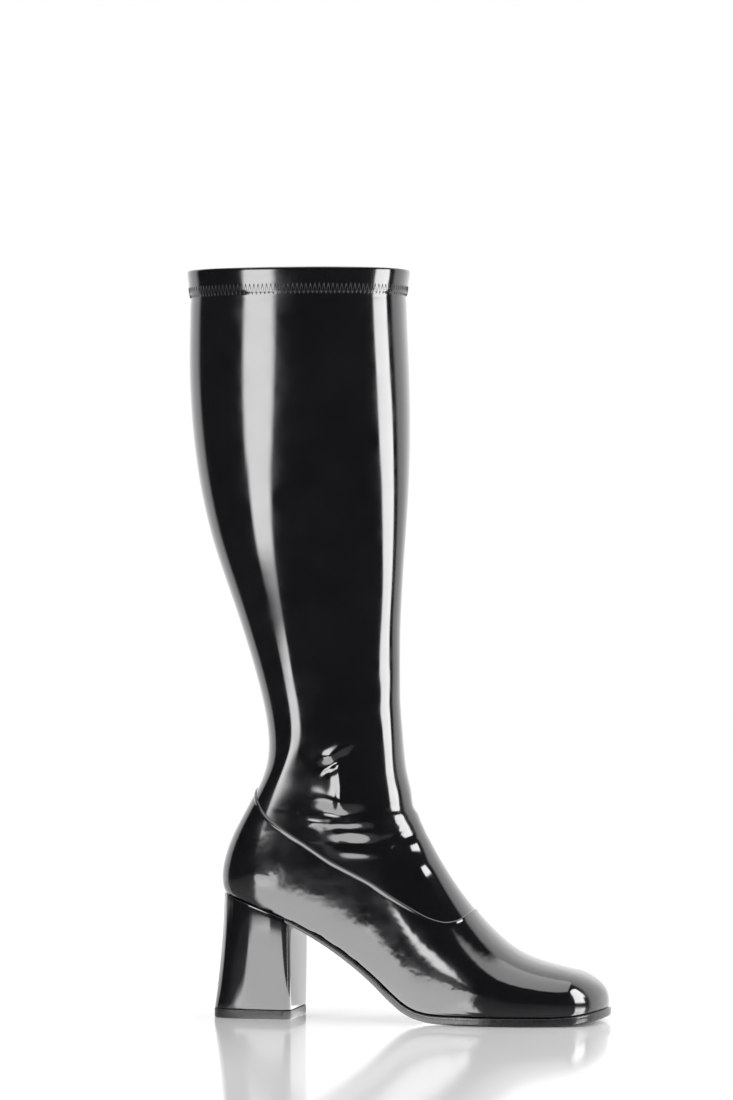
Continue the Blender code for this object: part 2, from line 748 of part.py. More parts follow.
def surface_finish(name, colour, roughness, coat):
    made = bpy.data.materials.new(name)
    made.use_nodes = True
    shader = made.node_tree.nodes["Principled BSDF"]
    shader.inputs["Base Color"].default_value = (*colour, 1.0)
    shader.inputs["Roughness"].default_value = roughness
    shader.inputs["Metallic"].default_value = 0.0
    shader.inputs["Coat Weight"].default_value = coat
    made.diffuse_color = (*colour, 1.0)
    return made


def clear_scene():
    for piece in list(bpy.data.objects):
        bpy.data.objects.remove(piece)


def collection(name):
    made = bpy.data.collections.new(name)
    bpy.context.scene.collection.children.link(made)
    return made


clear_scene()
BOOT = collection("go_go_boot")
CUTTERS = collection("cutters")

patent = surface_finish("black_patent", (0.012, 0.012, 0.014), 0.08, 1.0)
sole_black = surface_finish("sole_black", (0.02, 0.02, 0.02), 0.35, 0.3)
lift_rubber = surface_finish("lift_rubber", (0.03, 0.03, 0.03), 0.6, 0.0)
lining = surface_finish("insole_lining", (0.05, 0.05, 0.05), 0.7, 0.0)

FORM = Form()
make_foot_upper(patent)
make_shaft(patent)
make_outsole(FORM, sole_black)
make_insole(FORM, lining)
make_heel(FORM, patent)
make_top_lift(lift_rubber)
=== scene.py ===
"""A right boot in black patent: stretch leg, foot upper, thin sole and covered block heel.

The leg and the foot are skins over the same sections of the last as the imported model, divided more
finely, with the seam's bead, the stitched hem and the ankle's creases. Lengths are in metres, in
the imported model's frame: X to the toe, Y to the wearer's inner side, Z up from the floor.
"""

import math

import bmesh
import bpy
import numpy as np
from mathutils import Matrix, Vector
from mathutils.bvhtree import BVHTree


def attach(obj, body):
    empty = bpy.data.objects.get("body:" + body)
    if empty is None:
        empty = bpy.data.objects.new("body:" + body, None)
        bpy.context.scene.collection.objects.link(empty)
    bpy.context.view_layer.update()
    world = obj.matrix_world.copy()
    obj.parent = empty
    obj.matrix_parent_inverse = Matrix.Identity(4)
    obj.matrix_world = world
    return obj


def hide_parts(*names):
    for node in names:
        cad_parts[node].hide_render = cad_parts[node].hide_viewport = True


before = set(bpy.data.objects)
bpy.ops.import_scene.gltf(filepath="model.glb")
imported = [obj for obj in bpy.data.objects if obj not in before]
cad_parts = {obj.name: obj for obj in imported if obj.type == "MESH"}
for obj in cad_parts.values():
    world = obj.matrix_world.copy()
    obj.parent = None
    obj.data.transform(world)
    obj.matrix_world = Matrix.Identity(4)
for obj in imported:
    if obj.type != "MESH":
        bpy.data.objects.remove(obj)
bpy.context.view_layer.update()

# Driving sizes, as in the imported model
BOTTOM_LENGTH = 0.2407
BALL_WIDTH = 0.0850
HEEL_HEIGHT = 0.0760
INSTEP_RISE = 0.1240
TOE_DEPTH = 0.0270
TOE_DRIFT = 0.0050
NOSE_LENGTH = 0.0225
NOSE_UNDERCUT = 0.6
NOSE_FULLNESS = 0.75
NOSE_SLOPE = 0.20
BOOT_HEIGHT = 0.4530
ANKLE_DEPTH = 0.0810
ANKLE_WIDTH = 0.0640
ANKLE_FRONT = 0.4695
NECK_NARROWING = 0.98
NECK_SHARE = 0.740
CALF_DEPTH = 0.1350
CALF_WIDTH = 0.0980
LEG_SQUARENESS = 2.2
FOOT_PROUD = 0.0005
HEM_HEIGHT = 0.0120
FOREFOOT_THICKNESS = 0.0050
WAIST_THICKNESS = 0.0028
SOLE_EDGE = 0.0010
TOE_SPRING = 0.0035
INSOLE_THICKNESS = 0.0030
HEEL_LENGTH = 0.0505
HEEL_WIDTH = 0.0490
HEEL_SQUARENESS = 4.4
HEEL_TAPER = 0.14
HEEL_FLARE = 1.6
HEEL_RIM = 0.0006
HEEL_CORNER = 0.0050
SOLE_LAP = 0.0060
LIFT_THICKNESS = 0.0056
GAP = 0.0003
ROOT = 0.013
SQUARENESS_BLEND = 0.7

HEEL_BACK = -HEEL_LENGTH / 2
BREAST = HEEL_LENGTH / 2
LAP_X = BREAST - SOLE_LAP
ANKLE_TOP = HEEL_HEIGHT + INSTEP_RISE

# Sole's top line: share of the bottom length, share of the heel's rise
SOLE_LINE = (
    (0.000, 1.021),
    (0.097, 0.920),
    (0.213, 0.775),
    (0.277, 0.665),
    (0.330, 0.556),
    (0.383, 0.428),
    (0.425, 0.313),
    (0.480, 0.147),
    (0.508, 0.076),
    (0.540, 0.027),
    (0.580, 0.004),
    (0.620, 0.000),
    (1.100, 0.000),
)
SPRING_START = 0.87
BALL_SHARE = 0.58

# Sections of the foot, toe to seat
FOOT_COLUMNS = ("under", "over", "heel", "instep", "toe", "outer", "inner", "belly", "low", "high")
FOOT_ROWS = (
    (0.902, 0.902, 0.000, 0.000, 1.180, 0.436, 0.428, 0.50, 2.6, 2.3),
    (0.832, 0.832, 0.020, 0.000, 1.270, 0.490, 0.480, 0.46, 3.0, 2.3),
    (0.760, 0.760, 0.060, 0.090, 1.010, 0.506, 0.496, 0.40, 3.2, 2.2),
    (0.694, 0.690, 0.120, 0.240, 0.710, 0.500, 0.494, 0.36, 3.2, 2.1),
    (0.632, 0.626, 0.250, 0.440, 0.120, 0.474, 0.462, 0.32, 3.2, 2.0),
    (0.570, 0.575, 0.400, 0.525, 0.000, 0.440, 0.422, 0.30, 3.2, 2.0),
    (0.512, 0.531, 0.560, 0.585, 0.000, 0.404, 0.376, 0.32, 3.3, 2.0),
    (0.452, 0.501, 0.700, 0.640, 0.000, 0.372, 0.342, 0.36, 3.5, 2.0),
    (0.378, 0.483, 0.840, 0.720, 0.000, 0.354, 0.340, 0.42, 3.8, 2.0),
    (0.288, 0.476, 0.940, 0.810, 0.000, 0.356, 0.352, 0.48, 4.2, 2.0),
    (0.190, 0.472, 1.000, 0.870, 0.000, 0.362, 0.362, 0.54, 4.6, 2.0),
    (0.108, 0.470, 1.000, 0.935, 0.000, 0.366, 0.366, 0.58, 4.4, 2.0),
)

# Sections round the heel, seat to ankle
HEEL_COLUMNS = ("back", "up", "over", "above", "wide", "belly", "low", "high")
HEEL_ROWS = (
    (0.055, -0.080, ANKLE_FRONT, 0.985, 0.488, 0.60, 3.6, 2.0),
    (0.024, 0.000, ANKLE_FRONT, 1.025, 0.490, 0.60, 2.8, 2.0),
    (0.018, 0.105, ANKLE_FRONT, 1.065, 0.492, 0.58, 2.4, 2.0),
    (0.038, 0.244, ANKLE_FRONT, 1.115, 0.494, 0.54, 2.2, 2.0),
    (0.078, 0.390, ANKLE_FRONT, 1.180, 0.496, 0.47, 2.1, 2.05),
    (0.119, 0.540, 0.4697, 1.260, 0.496, 0.39, 2.1, 2.1),
    (0.138, 0.680, 0.4710, 1.350, 0.494, 0.33, 2.15, 2.15),
)

# Sections of the leg, ankle to collar
LEG_COLUMNS = ("back_up", "front_up", "back", "front", "wide", "belly")
LEG_ROWS = (
    (0.055, 0.230, 0.010, 0.020, 0.01, 0.31),
    (0.165, 0.315, 0.160, 0.044, 0.10, 0.34),
    (0.290, 0.410, 0.375, 0.075, 0.34, 0.39),
    (0.435, 0.510, 0.645, 0.098, 0.66, 0.45),
    (0.600, 0.640, 0.825, 0.106, 0.90, 0.50),
    (0.780, 0.785, 0.900, 0.088, 0.99, 0.53),
    (0.940, 0.936, 0.885, 0.056, 0.97, 0.54),
    (1.000, 1.000, 0.915, 0.095, 1.00, 0.54),
)

# Seam from the side: share of the bottom length, of the heel height, of the instep rise
SEAM_LINE = (
    (0.096, 1.000, 0.556),
    (0.113, 1.000, 0.512),
    (0.130, 1.000, 0.452),
    (0.149, 1.000, 0.398),
    (0.180, 1.000, 0.347),
    (0.241, 0.980, 0.283),
    (0.336, 0.900, 0.216),
    (0.418, 0.800, 0.197),
    (0.484, 0.680, 0.190),
    (0.551, 0.550, 0.195),
    (0.603, 0.450, 0.219),
    (0.635, 0.400, 0.254),
    (0.650, 0.380, 0.285),
    (0.660, 0.370, 0.315),
)

# How finely the pieces are divided
AROUND = 192  # points of a ring
DENSE = 500  # points of half a ring before they are spaced
CLOSE_AT = 0.36  # share of half a ring at which the loft's lines cross the seam at a slant
CLOSE_WIDTH = 0.09
CLOSE_GAIN = 1.2
SLIDE = 0.16  # how far the points slide up a ring, as a share of half of it
FINE = 24  # rings kept between two sections
SMOOTHING = 0.32  # sections over which the surface is evened
NOSE_ANGLES = (2, 8, 14, 20, 27, 34, 42, 49, 56, 64, 71, 78)
FOOT_RINGS = 230
LEG_RINGS = 240
LINING_RINGS = 150
SLOPE_STEP = 0.0005
FORM_RINGS = 6  # rings kept between two sections where the last is only measured
HALVED = 2  # every second point of a ring is enough there and for the lining
SHARP_ANGLE = 45.0

# Foot upper's top edge: distance below the seam, height above the last
BEAD = (
    (0.0050, 0.00050),
    (0.0032, 0.00050),
    (0.0024, 0.00052),
    (0.0019, 0.00062),
    (0.0015, 0.00080),
    (0.0011, 0.00092),
    (0.0008, 0.00092),
    (0.0006, 0.00084),
    (0.0004, 0.00068),
    (0.0002, 0.00042),
    (0.0001, 0.00010),
    (0.0001, -0.00060),
)
FEATHER_DEPTH = 0.0009  # the upper draws in where it meets the sole
FEATHER_HEIGHT = 0.0009

# Hem: distance below the collar, height above the last, height above the collar
HEM = (
    (0.0170, 0.00000, 0.0),
    (0.0152, -0.00010, 0.0),
    (0.0142, -0.00025, 0.0),
    (0.0134, -0.00035, 0.0),
    (0.0128, -0.00025, 0.0),
    (0.0123, 0.00015, 0.0),
    (0.0118, 0.00045, 0.0),
    (0.0108, 0.00060, 0.0),
    (0.0090, 0.00058, 0.0),
    (0.0070, 0.00062, 0.0),
    (0.0045, 0.00066, 0.0),
    (0.0022, 0.00062, 0.0),
    (0.0009, 0.00050, 0.0),
    (0.0003, 0.00030, 0.0),
    (0.0000, -0.00010, 0.0001),
    (0.0000, -0.00060, 0.0002),
    (0.0000, -0.00130, 0.0002),
    (0.0001, -0.00190, 0.0001),
    (0.0005, -0.00230, 0.0),
    (0.0020, -0.00250, 0.0),
    (0.0060, -0.00250, 0.0),
    (0.0110, -0.00250, 0.0),
    (0.0119, -0.00240, 0.0),
    (0.0122, -0.00150, 0.0),
)
HEM_TUCK = 0.0004  # how far the lining runs up inside the hem
LEG_TUCK = 0.0030  # how far the leg runs down inside the foot's bead
RIM_STEP = 0.02  # places below the collar where the rim's outward directions are taken
WALL_IN = 0.0015  # lining behind the last's surface

# Hem's zigzag
STITCH_ENDS = ((0.0088, 0.00058), (0.0130, -0.00020))  # below the collar, above the last
STITCH_ROW = 0.001  # rings this far apart give the surface's directions there
STITCH_PITCH = 0.0027
THREAD = 0.00021  # its radius
THREAD_SIDES = 6
# A stitch: share of its length, rise of its middle in thread radii
STITCH = (
    (0.02, -0.7),
    (0.14, 0.45),
    (0.34, 0.95),
    (0.5, 1.0),
    (0.66, 0.95),
    (0.86, 0.45),
    (0.98, -0.7),
)

# Creases: which side (-1 outer, 1 inner), height (below 0 a trough), spread, points in X and Z
CREASES = (
    (-1, 0.0025, 0.0170, ((0.064, 0.1255), (0.078, 0.1265))),
    (-1, 0.0011, 0.0034, ((0.0570, 0.1540), (0.0585, 0.1420), (0.0580, 0.1290))),
    (-1, 0.0013, 0.0038, ((0.0525, 0.1600), (0.0640, 0.1685))),
    (-1, -0.0007, 0.0017, ((0.0640, 0.1610), (0.0560, 0.1565), (0.0440, 0.1500))),
    (-1, -0.0014, 0.0026, ((0.102, 0.1290), (0.080, 0.1262), (0.062, 0.1240), (0.038, 0.1260))),
    (-1, -0.0008, 0.0022, ((0.104, 0.1225), (0.080, 0.1170), (0.052, 0.1170))),
    (-1, -0.0010, 0.0024, ((0.106, 0.1145), (0.084, 0.1065), (0.056, 0.1075))),
    (-1, 0.0009, 0.0048, ((0.088, 0.1010), (0.104, 0.0930))),
    (-1, 0.0008, 0.0050, ((0.058, 0.1868), (0.070, 0.1877))),
    (1, 0.0018, 0.0130, ((0.060, 0.1250), (0.072, 0.1260))),
    (1, 0.0012, 0.0030, ((0.0540, 0.1540), (0.0550, 0.1400), (0.0530, 0.1280))),
    (1, -0.0010, 0.0018, ((0.064, 0.1610), (0.055, 0.1560), (0.040, 0.1520))),
    (1, -0.0015, 0.0026, ((0.102, 0.1290), (0.082, 0.1250), (0.064, 0.1225), (0.044, 0.1220))),
    (1, -0.0009, 0.0023, ((0.100, 0.1200), (0.084, 0.1150), (0.060, 0.1135))),
    (1, -0.0009, 0.0026, ((0.103, 0.1110), (0.086, 0.1030), (0.066, 0.1010))),
)
CREASE_SIDE = 0.006  # how far past the middle a side's creases run
CREASE_END = 0.22  # share of a crease's length over which it fades
CREASE_OVER = 0.06  # share of it by which it runs on past each end
LIP_HEIGHT = 0.32  # a trough's lips: share of its depth, then places and widths in its spreads
LIP_PLACE = 2.1
LIP_WIDTH = 1.1
FOLD_EASE = 2.3  # a trough's upper wall is this much gentler than its lower one

# Camera, at the photograph's angle
CAMERA_PLACE = (0.7119, -3.0323, 0.2836)
CAMERA_TURN = 12.0
CAMERA_LENS = 167.4
SENSOR = 36.0
CAMERA_REACH = 50.0


def along(share):
    return HEEL_BACK + share * BOTTOM_LENGTH


def hermite(start, start_slope, end, end_slope, t):
    return (
        (2 * t**3 - 3 * t**2 + 1) * start
        + (t**3 - 2 * t**2 + t) * start_slope
        + (3 * t**2 - 2 * t**3) * end
        + (t**3 - t**2) * end_slope
    )


def smooth(table, at):
    """A smooth curve through the table's rows, read at values of the first column."""
    rows = np.array(table, float)
    x, values = rows[:, 0], rows[:, 1:]
    rates = np.diff(values, axis=0) / np.diff(x)[:, None]
    before, after = rates[:-1], rates[1:]
    same = before * after > 0
    middle = np.where(same, 2 * before * after / np.where(same, before + after, 1.0), 0.0)
    slopes = np.concatenate((rates[:1], middle, rates[-1:]))
    at = np.asarray(at, float)
    i = np.clip(np.searchsorted(x, at, side="right") - 1, 0, len(x) - 2)
    width = (x[i + 1] - x[i])[..., None]
    t = np.clip((at - x[i])[..., None] / width, 0.0, 1.0)
    return hermite(values[i], width * slopes[i], values[i + 1], width * slopes[i + 1], t)


def smoothstep(low, high, value):
    t = np.clip((value - low) / (high - low), 0.0, 1.0)
    return t * t * (3 - 2 * t)


def seat_line(x):
    rise = smooth(SOLE_LINE, (x - HEEL_BACK) / BOTTOM_LENGTH)[..., 0]
    return FOREFOOT_THICKNESS + rise * (HEEL_HEIGHT - FOREFOOT_THICKNESS)


def sole_top(x):
    share = (np.asarray(x, float) - HEEL_BACK) / BOTTOM_LENGTH
    lifted = np.maximum(0.0, share - SPRING_START) / (1 - SPRING_START)
    return seat_line(np.asarray(x, float)) + TOE_SPRING * lifted**2


def forefoot_share(x):
    return np.clip((x - BREAST) / (along(BALL_SHARE) - BREAST), 0.0, 1.0)


def sole_bottom(x):
    x = np.asarray(x, float)
    slope = (seat_line(x + SLOPE_STEP) - seat_line(x - SLOPE_STEP)) / (2 * SLOPE_STEP)
    thick = WAIST_THICKNESS + (FOREFOOT_THICKNESS - WAIST_THICKNESS) * forefoot_share(x)
    return sole_top(x) - thick * np.hypot(1.0, slope)


def above_seam(points):
    """How far points lie above the seam, across it. Past its ends the seam runs straight."""
    first, last = along(SEAM_LINE[0][0]), along(SEAM_LINE[-1][0])
    inside = np.clip(points[..., 0], first + SLOPE_STEP, last - SLOPE_STEP)

    def height(at):
        shares = smooth(SEAM_LINE, (at - HEEL_BACK) / BOTTOM_LENGTH)
        return shares[..., 0] * HEEL_HEIGHT + shares[..., 1] * INSTEP_RISE

    slope = (height(inside + SLOPE_STEP) - height(inside - SLOPE_STEP)) / (2 * SLOPE_STEP)
    line = height(inside) + slope * (points[..., 0] - inside)
    return (points[..., 2] - line) / np.hypot(1.0, slope)


# A section's values, in order
BACK_X, BACK_Z, FRONT_X, FRONT_Z, DRIFT, OUTER, INNER, BELLY, LOW, HIGH = range(10)
ELLIPSE = 2.0  # squareness of an ellipse


def section(back, front, drift, outer, inner, belly, low, high):
    return np.array((*back, *front, drift, outer, inner, belly, low, high))


def foot_sections():
    for values in FOOT_ROWS:
        row = dict(zip(FOOT_COLUMNS, values))
        x = along(row["under"])
        top = row["heel"] * HEEL_HEIGHT + row["instep"] * INSTEP_RISE + row["toe"] * TOE_DEPTH
        back, front = (x, float(sole_top(x)) - ROOT), (along(row["over"]), top)
        halves = (row["outer"] * BALL_WIDTH, row["inner"] * BALL_WIDTH)
        yield section(back, front, 0.0, *halves, row["belly"], row["low"], row["high"])


def nose_sections(base):
    """The toe's round front: the base section shrinks along a quarter ellipse to its tip."""
    bottom, top = base[BACK_Z], base[FRONT_Z]
    tip = bottom + base[BELLY] * (top - bottom)
    for degrees in NOSE_ANGLES:
        size = math.sin(math.radians(degrees))
        reach = NOSE_LENGTH * math.cos(math.radians(degrees))
        row = base.copy()
        row[BACK_X] = row[FRONT_X] = base[BACK_X] + reach
        row[BACK_Z] = tip + (bottom - tip) * size**NOSE_UNDERCUT
        row[FRONT_Z] = tip + (top - tip - NOSE_SLOPE * reach) * size**NOSE_FULLNESS
        row[DRIFT] = TOE_DRIFT * (reach / NOSE_LENGTH) ** 2
        row[OUTER] = base[OUTER] * size
        row[INNER] = base[INNER] * size
        row[LOW] = row[HIGH] = ELLIPSE + (base[LOW] - ELLIPSE) * size
        yield row


def heel_sections():
    for values in HEEL_ROWS:
        row = dict(zip(HEEL_COLUMNS, values))
        half = row["wide"] * ANKLE_WIDTH
        back = (along(row["back"]), HEEL_HEIGHT + row["up"] * INSTEP_RISE)
        front = (along(row["over"]), HEEL_HEIGHT + row["above"] * INSTEP_RISE)
        yield section(back, front, 0.0, half, half, row["belly"], row["low"], row["high"])


def leg_sections():
    front_x = along(ANKLE_FRONT)
    back_x = front_x - ANKLE_DEPTH
    neck = HEEL_HEIGHT + NECK_SHARE * INSTEP_RISE
    deeper = CALF_DEPTH - ANKLE_DEPTH
    neck_width = NECK_NARROWING * ANKLE_WIDTH
    wider = CALF_WIDTH - ANKLE_WIDTH
    for values in LEG_ROWS:
        row = dict(zip(LEG_COLUMNS, values))
        half = (neck_width + row["wide"] * wider) / 2
        back = (back_x - row["back"] * deeper, neck + row["back_up"] * (BOOT_HEIGHT - neck))
        front_up = ANKLE_TOP + row["front_up"] * (BOOT_HEIGHT - ANKLE_TOP)
        front = (front_x + row["front"] * deeper, front_up)
        yield section(back, front, 0.0, half, half, row["belly"], LEG_SQUARENESS, LEG_SQUARENESS)


def all_sections():
    foot = list(foot_sections())
    nose = list(nose_sections(foot[0]))
    return np.array([*nose, *foot, *heel_sections(), *leg_sections()])


SECTIONS = all_sections()
LAST = len(SECTIONS) - 1
SLIDE_START = len(NOSE_ANGLES) + 6  # places between which the points slide
SLIDE_END = len(NOSE_ANGLES) + 13


def section_at(place):
    i = int(min(max(math.floor(place), 0), LAST - 1))
    p1, p2 = SECTIONS[i], SECTIONS[i + 1]
    m1 = (p2 - SECTIONS[i - 1]) / 2 if i > 0 else p2 - p1
    m2 = (SECTIONS[i + 2] - p1) / 2 if i + 2 <= LAST else p2 - p1
    return hermite(p1, m1, p2, m2, place - i)


def point_shares():
    """Where a ring's points lie along half of it: closer together beside the seam."""
    at = np.linspace(0.0, 1.0, DENSE)
    density = 1 + CLOSE_GAIN * np.exp(-(((at - CLOSE_AT) / CLOSE_WIDTH) ** 2))
    run = np.concatenate(([0.0], np.cumsum((density[1:] + density[:-1]) / 2)))
    return np.interp(np.linspace(0.0, run[-1], AROUND // 2 + 1), run, at)


POINT_SHARES = point_shares()


def shares_at(place):
    """The points slide up the rings towards the heel, so that the loft's lines cross the seam."""
    t = min(max((place - SLIDE_START) / (SLIDE_END - SLIDE_START), 0.0), 1.0)
    return POINT_SHARES + SLIDE * t * t * (3 - 2 * t) * np.sin(math.pi * POINT_SHARES)


def half_ring(row, side, shares):
    """Points of one side of a section's ring, back to front, at the shares of its length."""
    bx, bz, fx, fz, drift, outer, inner, belly, low, high = row
    half = outer if side < 0 else inner
    length = math.hypot(fx - bx, fz - bz)
    angle = np.linspace(-math.pi / 2, math.pi / 2, DENSE)
    power = low + (high - low) * smoothstep(-SQUARENESS_BLEND, SQUARENESS_BLEND, angle)
    reach = np.where(angle < 0, belly, 1 - belly) * length
    across = half * np.abs(np.cos(angle)) ** (2 / power)
    up = belly * length + reach * np.sign(angle) * np.abs(np.sin(angle)) ** (2 / power)
    x, z = bx + (fx - bx) * up / length, bz + (fz - bz) * up / length
    points = np.stack((x, drift + side * across, z), axis=1)
    steps = np.linalg.norm(np.diff(points, axis=0), axis=1)
    run = np.concatenate(([0.0], np.cumsum(steps)))
    stops = run[-1] * shares
    return np.stack([np.interp(stops, run, points[:, k]) for k in range(3)], axis=1)


def ring(place):
    """A closed ring: up the outer side from the back point to the front point, down the inner."""
    row, shares = section_at(place), shares_at(place)
    outer, inner = (half_ring(row, side, shares) for side in (-1, 1))
    return np.concatenate((outer[:-1], inner[:0:-1]))


def evened(rings):
    """The rings with the joins between sections evened out along the boot."""
    reach = int(3 * SMOOTHING * FINE)
    steps = np.arange(-reach, reach + 1)
    weights = np.exp(-0.5 * (steps / (SMOOTHING * FINE)) ** 2)
    weights /= weights.sum()
    wide = np.pad(rings, ((reach, reach), (0, 0), (0, 0)), mode="reflect", reflect_type="odd")
    count = len(rings)
    return sum(w * wide[k : k + count] for k, w in enumerate(weights))


LOFT = evened(np.array([ring(i / FINE) for i in range(LAST * FINE + 1)]))
OVER_SEAM = above_seam(LOFT)
# Metres a place covers at the collar, from the last part of a place
COLLAR_PARTS = 4
TOP_PART = LOFT[-1] - LOFT[-1 - FINE // COLLAR_PARTS]
COLLAR_RUN = np.linalg.norm(TOP_PART, axis=1).mean() * COLLAR_PARTS


def surface(places):
    """Points of the loft where places holds, for each ring, the place of each of its points."""
    at = np.clip(places * FINE, 0.0, len(LOFT) - 1)
    i = np.minimum(at.astype(int), len(LOFT) - 2)
    t = (at - i)[..., None]
    j = np.arange(AROUND)
    return LOFT[i, j] * (1 - t) + LOFT[i + 1, j] * t


def seam_places(shift):
    """Where each of the loft's lines crosses the line that runs shift above the seam."""
    first = np.argmax(OVER_SEAM > shift, axis=0)
    j = np.arange(AROUND)
    below, over = OVER_SEAM[first - 1, j], OVER_SEAM[first, j]
    return (first - 1 + (shift - below) / (over - below)) / FINE


def normals(grid):
    """Outward directions at a grid's points."""
    on = np.gradient(grid, axis=0)
    round_it = (np.roll(grid, -1, axis=1) - np.roll(grid, 1, axis=1)) / 2
    out = np.cross(round_it, on)
    return out / np.maximum(np.linalg.norm(out, axis=2, keepdims=True), 1e-12)


def to_line(points, line):
    """How far points in XZ lie from a line, below 0 under it, and their share along it."""
    ends = np.array(line)
    lengths = np.linalg.norm(np.diff(ends, axis=0), axis=1)
    starts = np.concatenate(([0.0], np.cumsum(lengths)))
    best = np.full(points.shape[:-1], np.inf)
    share = np.zeros(points.shape[:-1])
    over = np.ones(points.shape[:-1])
    for k, length in enumerate(lengths):
        way = (ends[k + 1] - ends[k]) / length
        run = np.clip((points - ends[k]) @ way, 0.0, length)
        offset = points - ends[k] - run[..., None] * way
        away = np.linalg.norm(offset, axis=-1)
        nearer = away < best
        best = np.where(nearer, away, best)
        share = np.where(nearer, (starts[k] + run) / starts[-1], share)
        over = np.where(nearer, np.where(offset[..., 1] < 0, -1.0, 1.0), over)
    return best * over, share


def creased(points):
    """How far the leg's surface stands out or in at each point."""
    total = np.zeros(points.shape[:-1])
    for side, height, spread, line in CREASES:
        away, share = to_line(points[..., (0, 2)], line)
        shape = smoothstep(-CREASE_SIDE, CREASE_SIDE, side * points[..., 1])
        if height < 0:
            away = np.abs(np.where(away > 0, away / FOLD_EASE, away))
            shape *= smoothstep(0.0, CREASE_END, CREASE_OVER + share)
            shape *= smoothstep(0.0, CREASE_END, CREASE_OVER + 1 - share)
            lips = LIP_HEIGHT * np.exp(-(((away / spread - LIP_PLACE) / LIP_WIDTH) ** 2))
            shape *= np.exp(-((away / spread) ** 2)) - lips
        else:
            shape *= np.exp(-((away / spread) ** 2))
        total += height * shape
    return total


def mesh_object(name, points, faces, material):
    mesh = bpy.data.meshes.new(name)
    mesh.from_pydata([tuple(p) for p in points], [], faces)
    return placed(name, mesh, material)


def placed(name, mesh, material):
    mesh.update()
    mesh.shade_smooth()
    mesh.set_sharp_from_angle(angle=math.radians(SHARP_ANGLE))
    mesh.materials.append(material)
    piece = bpy.data.objects.new(name, mesh)
    bpy.context.scene.collection.objects.link(piece)
    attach(piece, "root")
    return piece


def grid_faces(rings, count, outward=True):
    faces = []
    for i in range(rings - 1):
        for j in range(count):
            k = (j + 1) % count
            face = (i * count + j, i * count + k, (i + 1) * count + k, (i + 1) * count + j)
            faces.append(face if outward else face[::-1])
    return faces


def cut_off_below(grid, line):
    """Lays what is below the line on it, and sets the last point above it exactly there."""
    count = grid.shape[1]
    over = grid[..., 2] - line(grid[..., 0])
    middle = count // 2
    upward = np.array([j + 1 if j < middle else j - 1 for j in range(count)])
    next_over = over[:, upward]
    crossing = (over < 0) & (next_over >= 0)
    t = next_over / np.where(crossing, next_over - over, 1.0)
    on_line = grid[:, upward] + (grid - grid[:, upward]) * t[..., None]
    moved = grid.copy()
    moved[..., 2] = np.where(over < 0, line(grid[..., 0]), grid[..., 2])
    return np.where(crossing[..., None], on_line, moved)


def make_foot(material):
    """The foot upper's skin, with the bead of its top edge and the groove above the sole."""
    edge = [seam_places(-below) for below, _ in BEAD]
    body = np.linspace(0, 1, FOOT_RINGS)[:-1, None] * edge[0][None, :]
    grid = surface(np.concatenate((body, edge)))
    way = normals(grid)
    proud = np.full((len(grid), 1), FOOT_PROUD)
    proud[-len(BEAD) :, 0] = [height for _, height in BEAD]
    over_sole = np.maximum(grid[..., 2] - sole_top(grid[..., 0]), 0.0)
    feather = FEATHER_DEPTH * np.exp(-over_sole / FEATHER_HEIGHT)
    grid = grid + way * (proud - feather)[..., None]
    grid = cut_off_below(grid, lambda x: sole_top(x) + GAP)
    count = grid.shape[1]
    faces = grid_faces(len(grid), count)
    faces.append(tuple(range(count - 1, -1, -1)))
    piece = mesh_object("foot_skin", grid.reshape(-1, 3), faces, material)
    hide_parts("foot_upper")


def make_leg(material):
    """The leg's skin from under the foot's bead to the collar, over it and down inside the hem."""
    start = seam_places(-LEG_TUCK)
    hem = LAST - HEM[0][0] / COLLAR_RUN
    fractions = np.linspace(0, 1, LEG_RINGS)[:-1, None]
    body = start * (1 - fractions) + hem * fractions
    level = np.array([np.full(AROUND, LAST - below / COLLAR_RUN) for below, _, _ in HEM])
    grid = surface(np.concatenate((body, level)))
    way = normals(surface(np.concatenate((body, np.minimum(level, LAST - RIM_STEP)))))
    proud = np.zeros((len(grid), 1))
    proud[-len(HEM) :, 0] = [height for _, height, _ in HEM]
    lift = np.zeros(len(grid))
    lift[-len(HEM) :] = [up for _, _, up in HEM]
    # Rings that share a place take the same directions, so the rim stays even.
    first_level = len(grid) - len(HEM)
    way[first_level:] = way[first_level]
    grid = grid + way * (proud + creased(grid))[..., None]
    grid[..., 2] += lift[:, None]
    piece = mesh_object("leg_skin", grid.reshape(-1, 3), grid_faces(len(grid), AROUND), material)
    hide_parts("shaft")


def make_lining(material):
    """The inner face of leg and foot, from inside the hem down to the insole and toe."""
    top = LAST - (HEM_HEIGHT - HEM_TUCK) / COLLAR_RUN
    places = np.linspace(0, 1, LINING_RINGS)[:, None] * np.full(AROUND, top)
    grid = surface(places)
    grid = grid + normals(grid) * (creased(grid) - WALL_IN)[..., None]
    grid = cut_off_below(grid, lambda x: sole_top(x) + 2 * GAP)[:, ::HALVED]
    count = grid.shape[1]
    faces = grid_faces(len(grid), count, False)
    piece = mesh_object("lining", grid.reshape(-1, 3), faces, material)


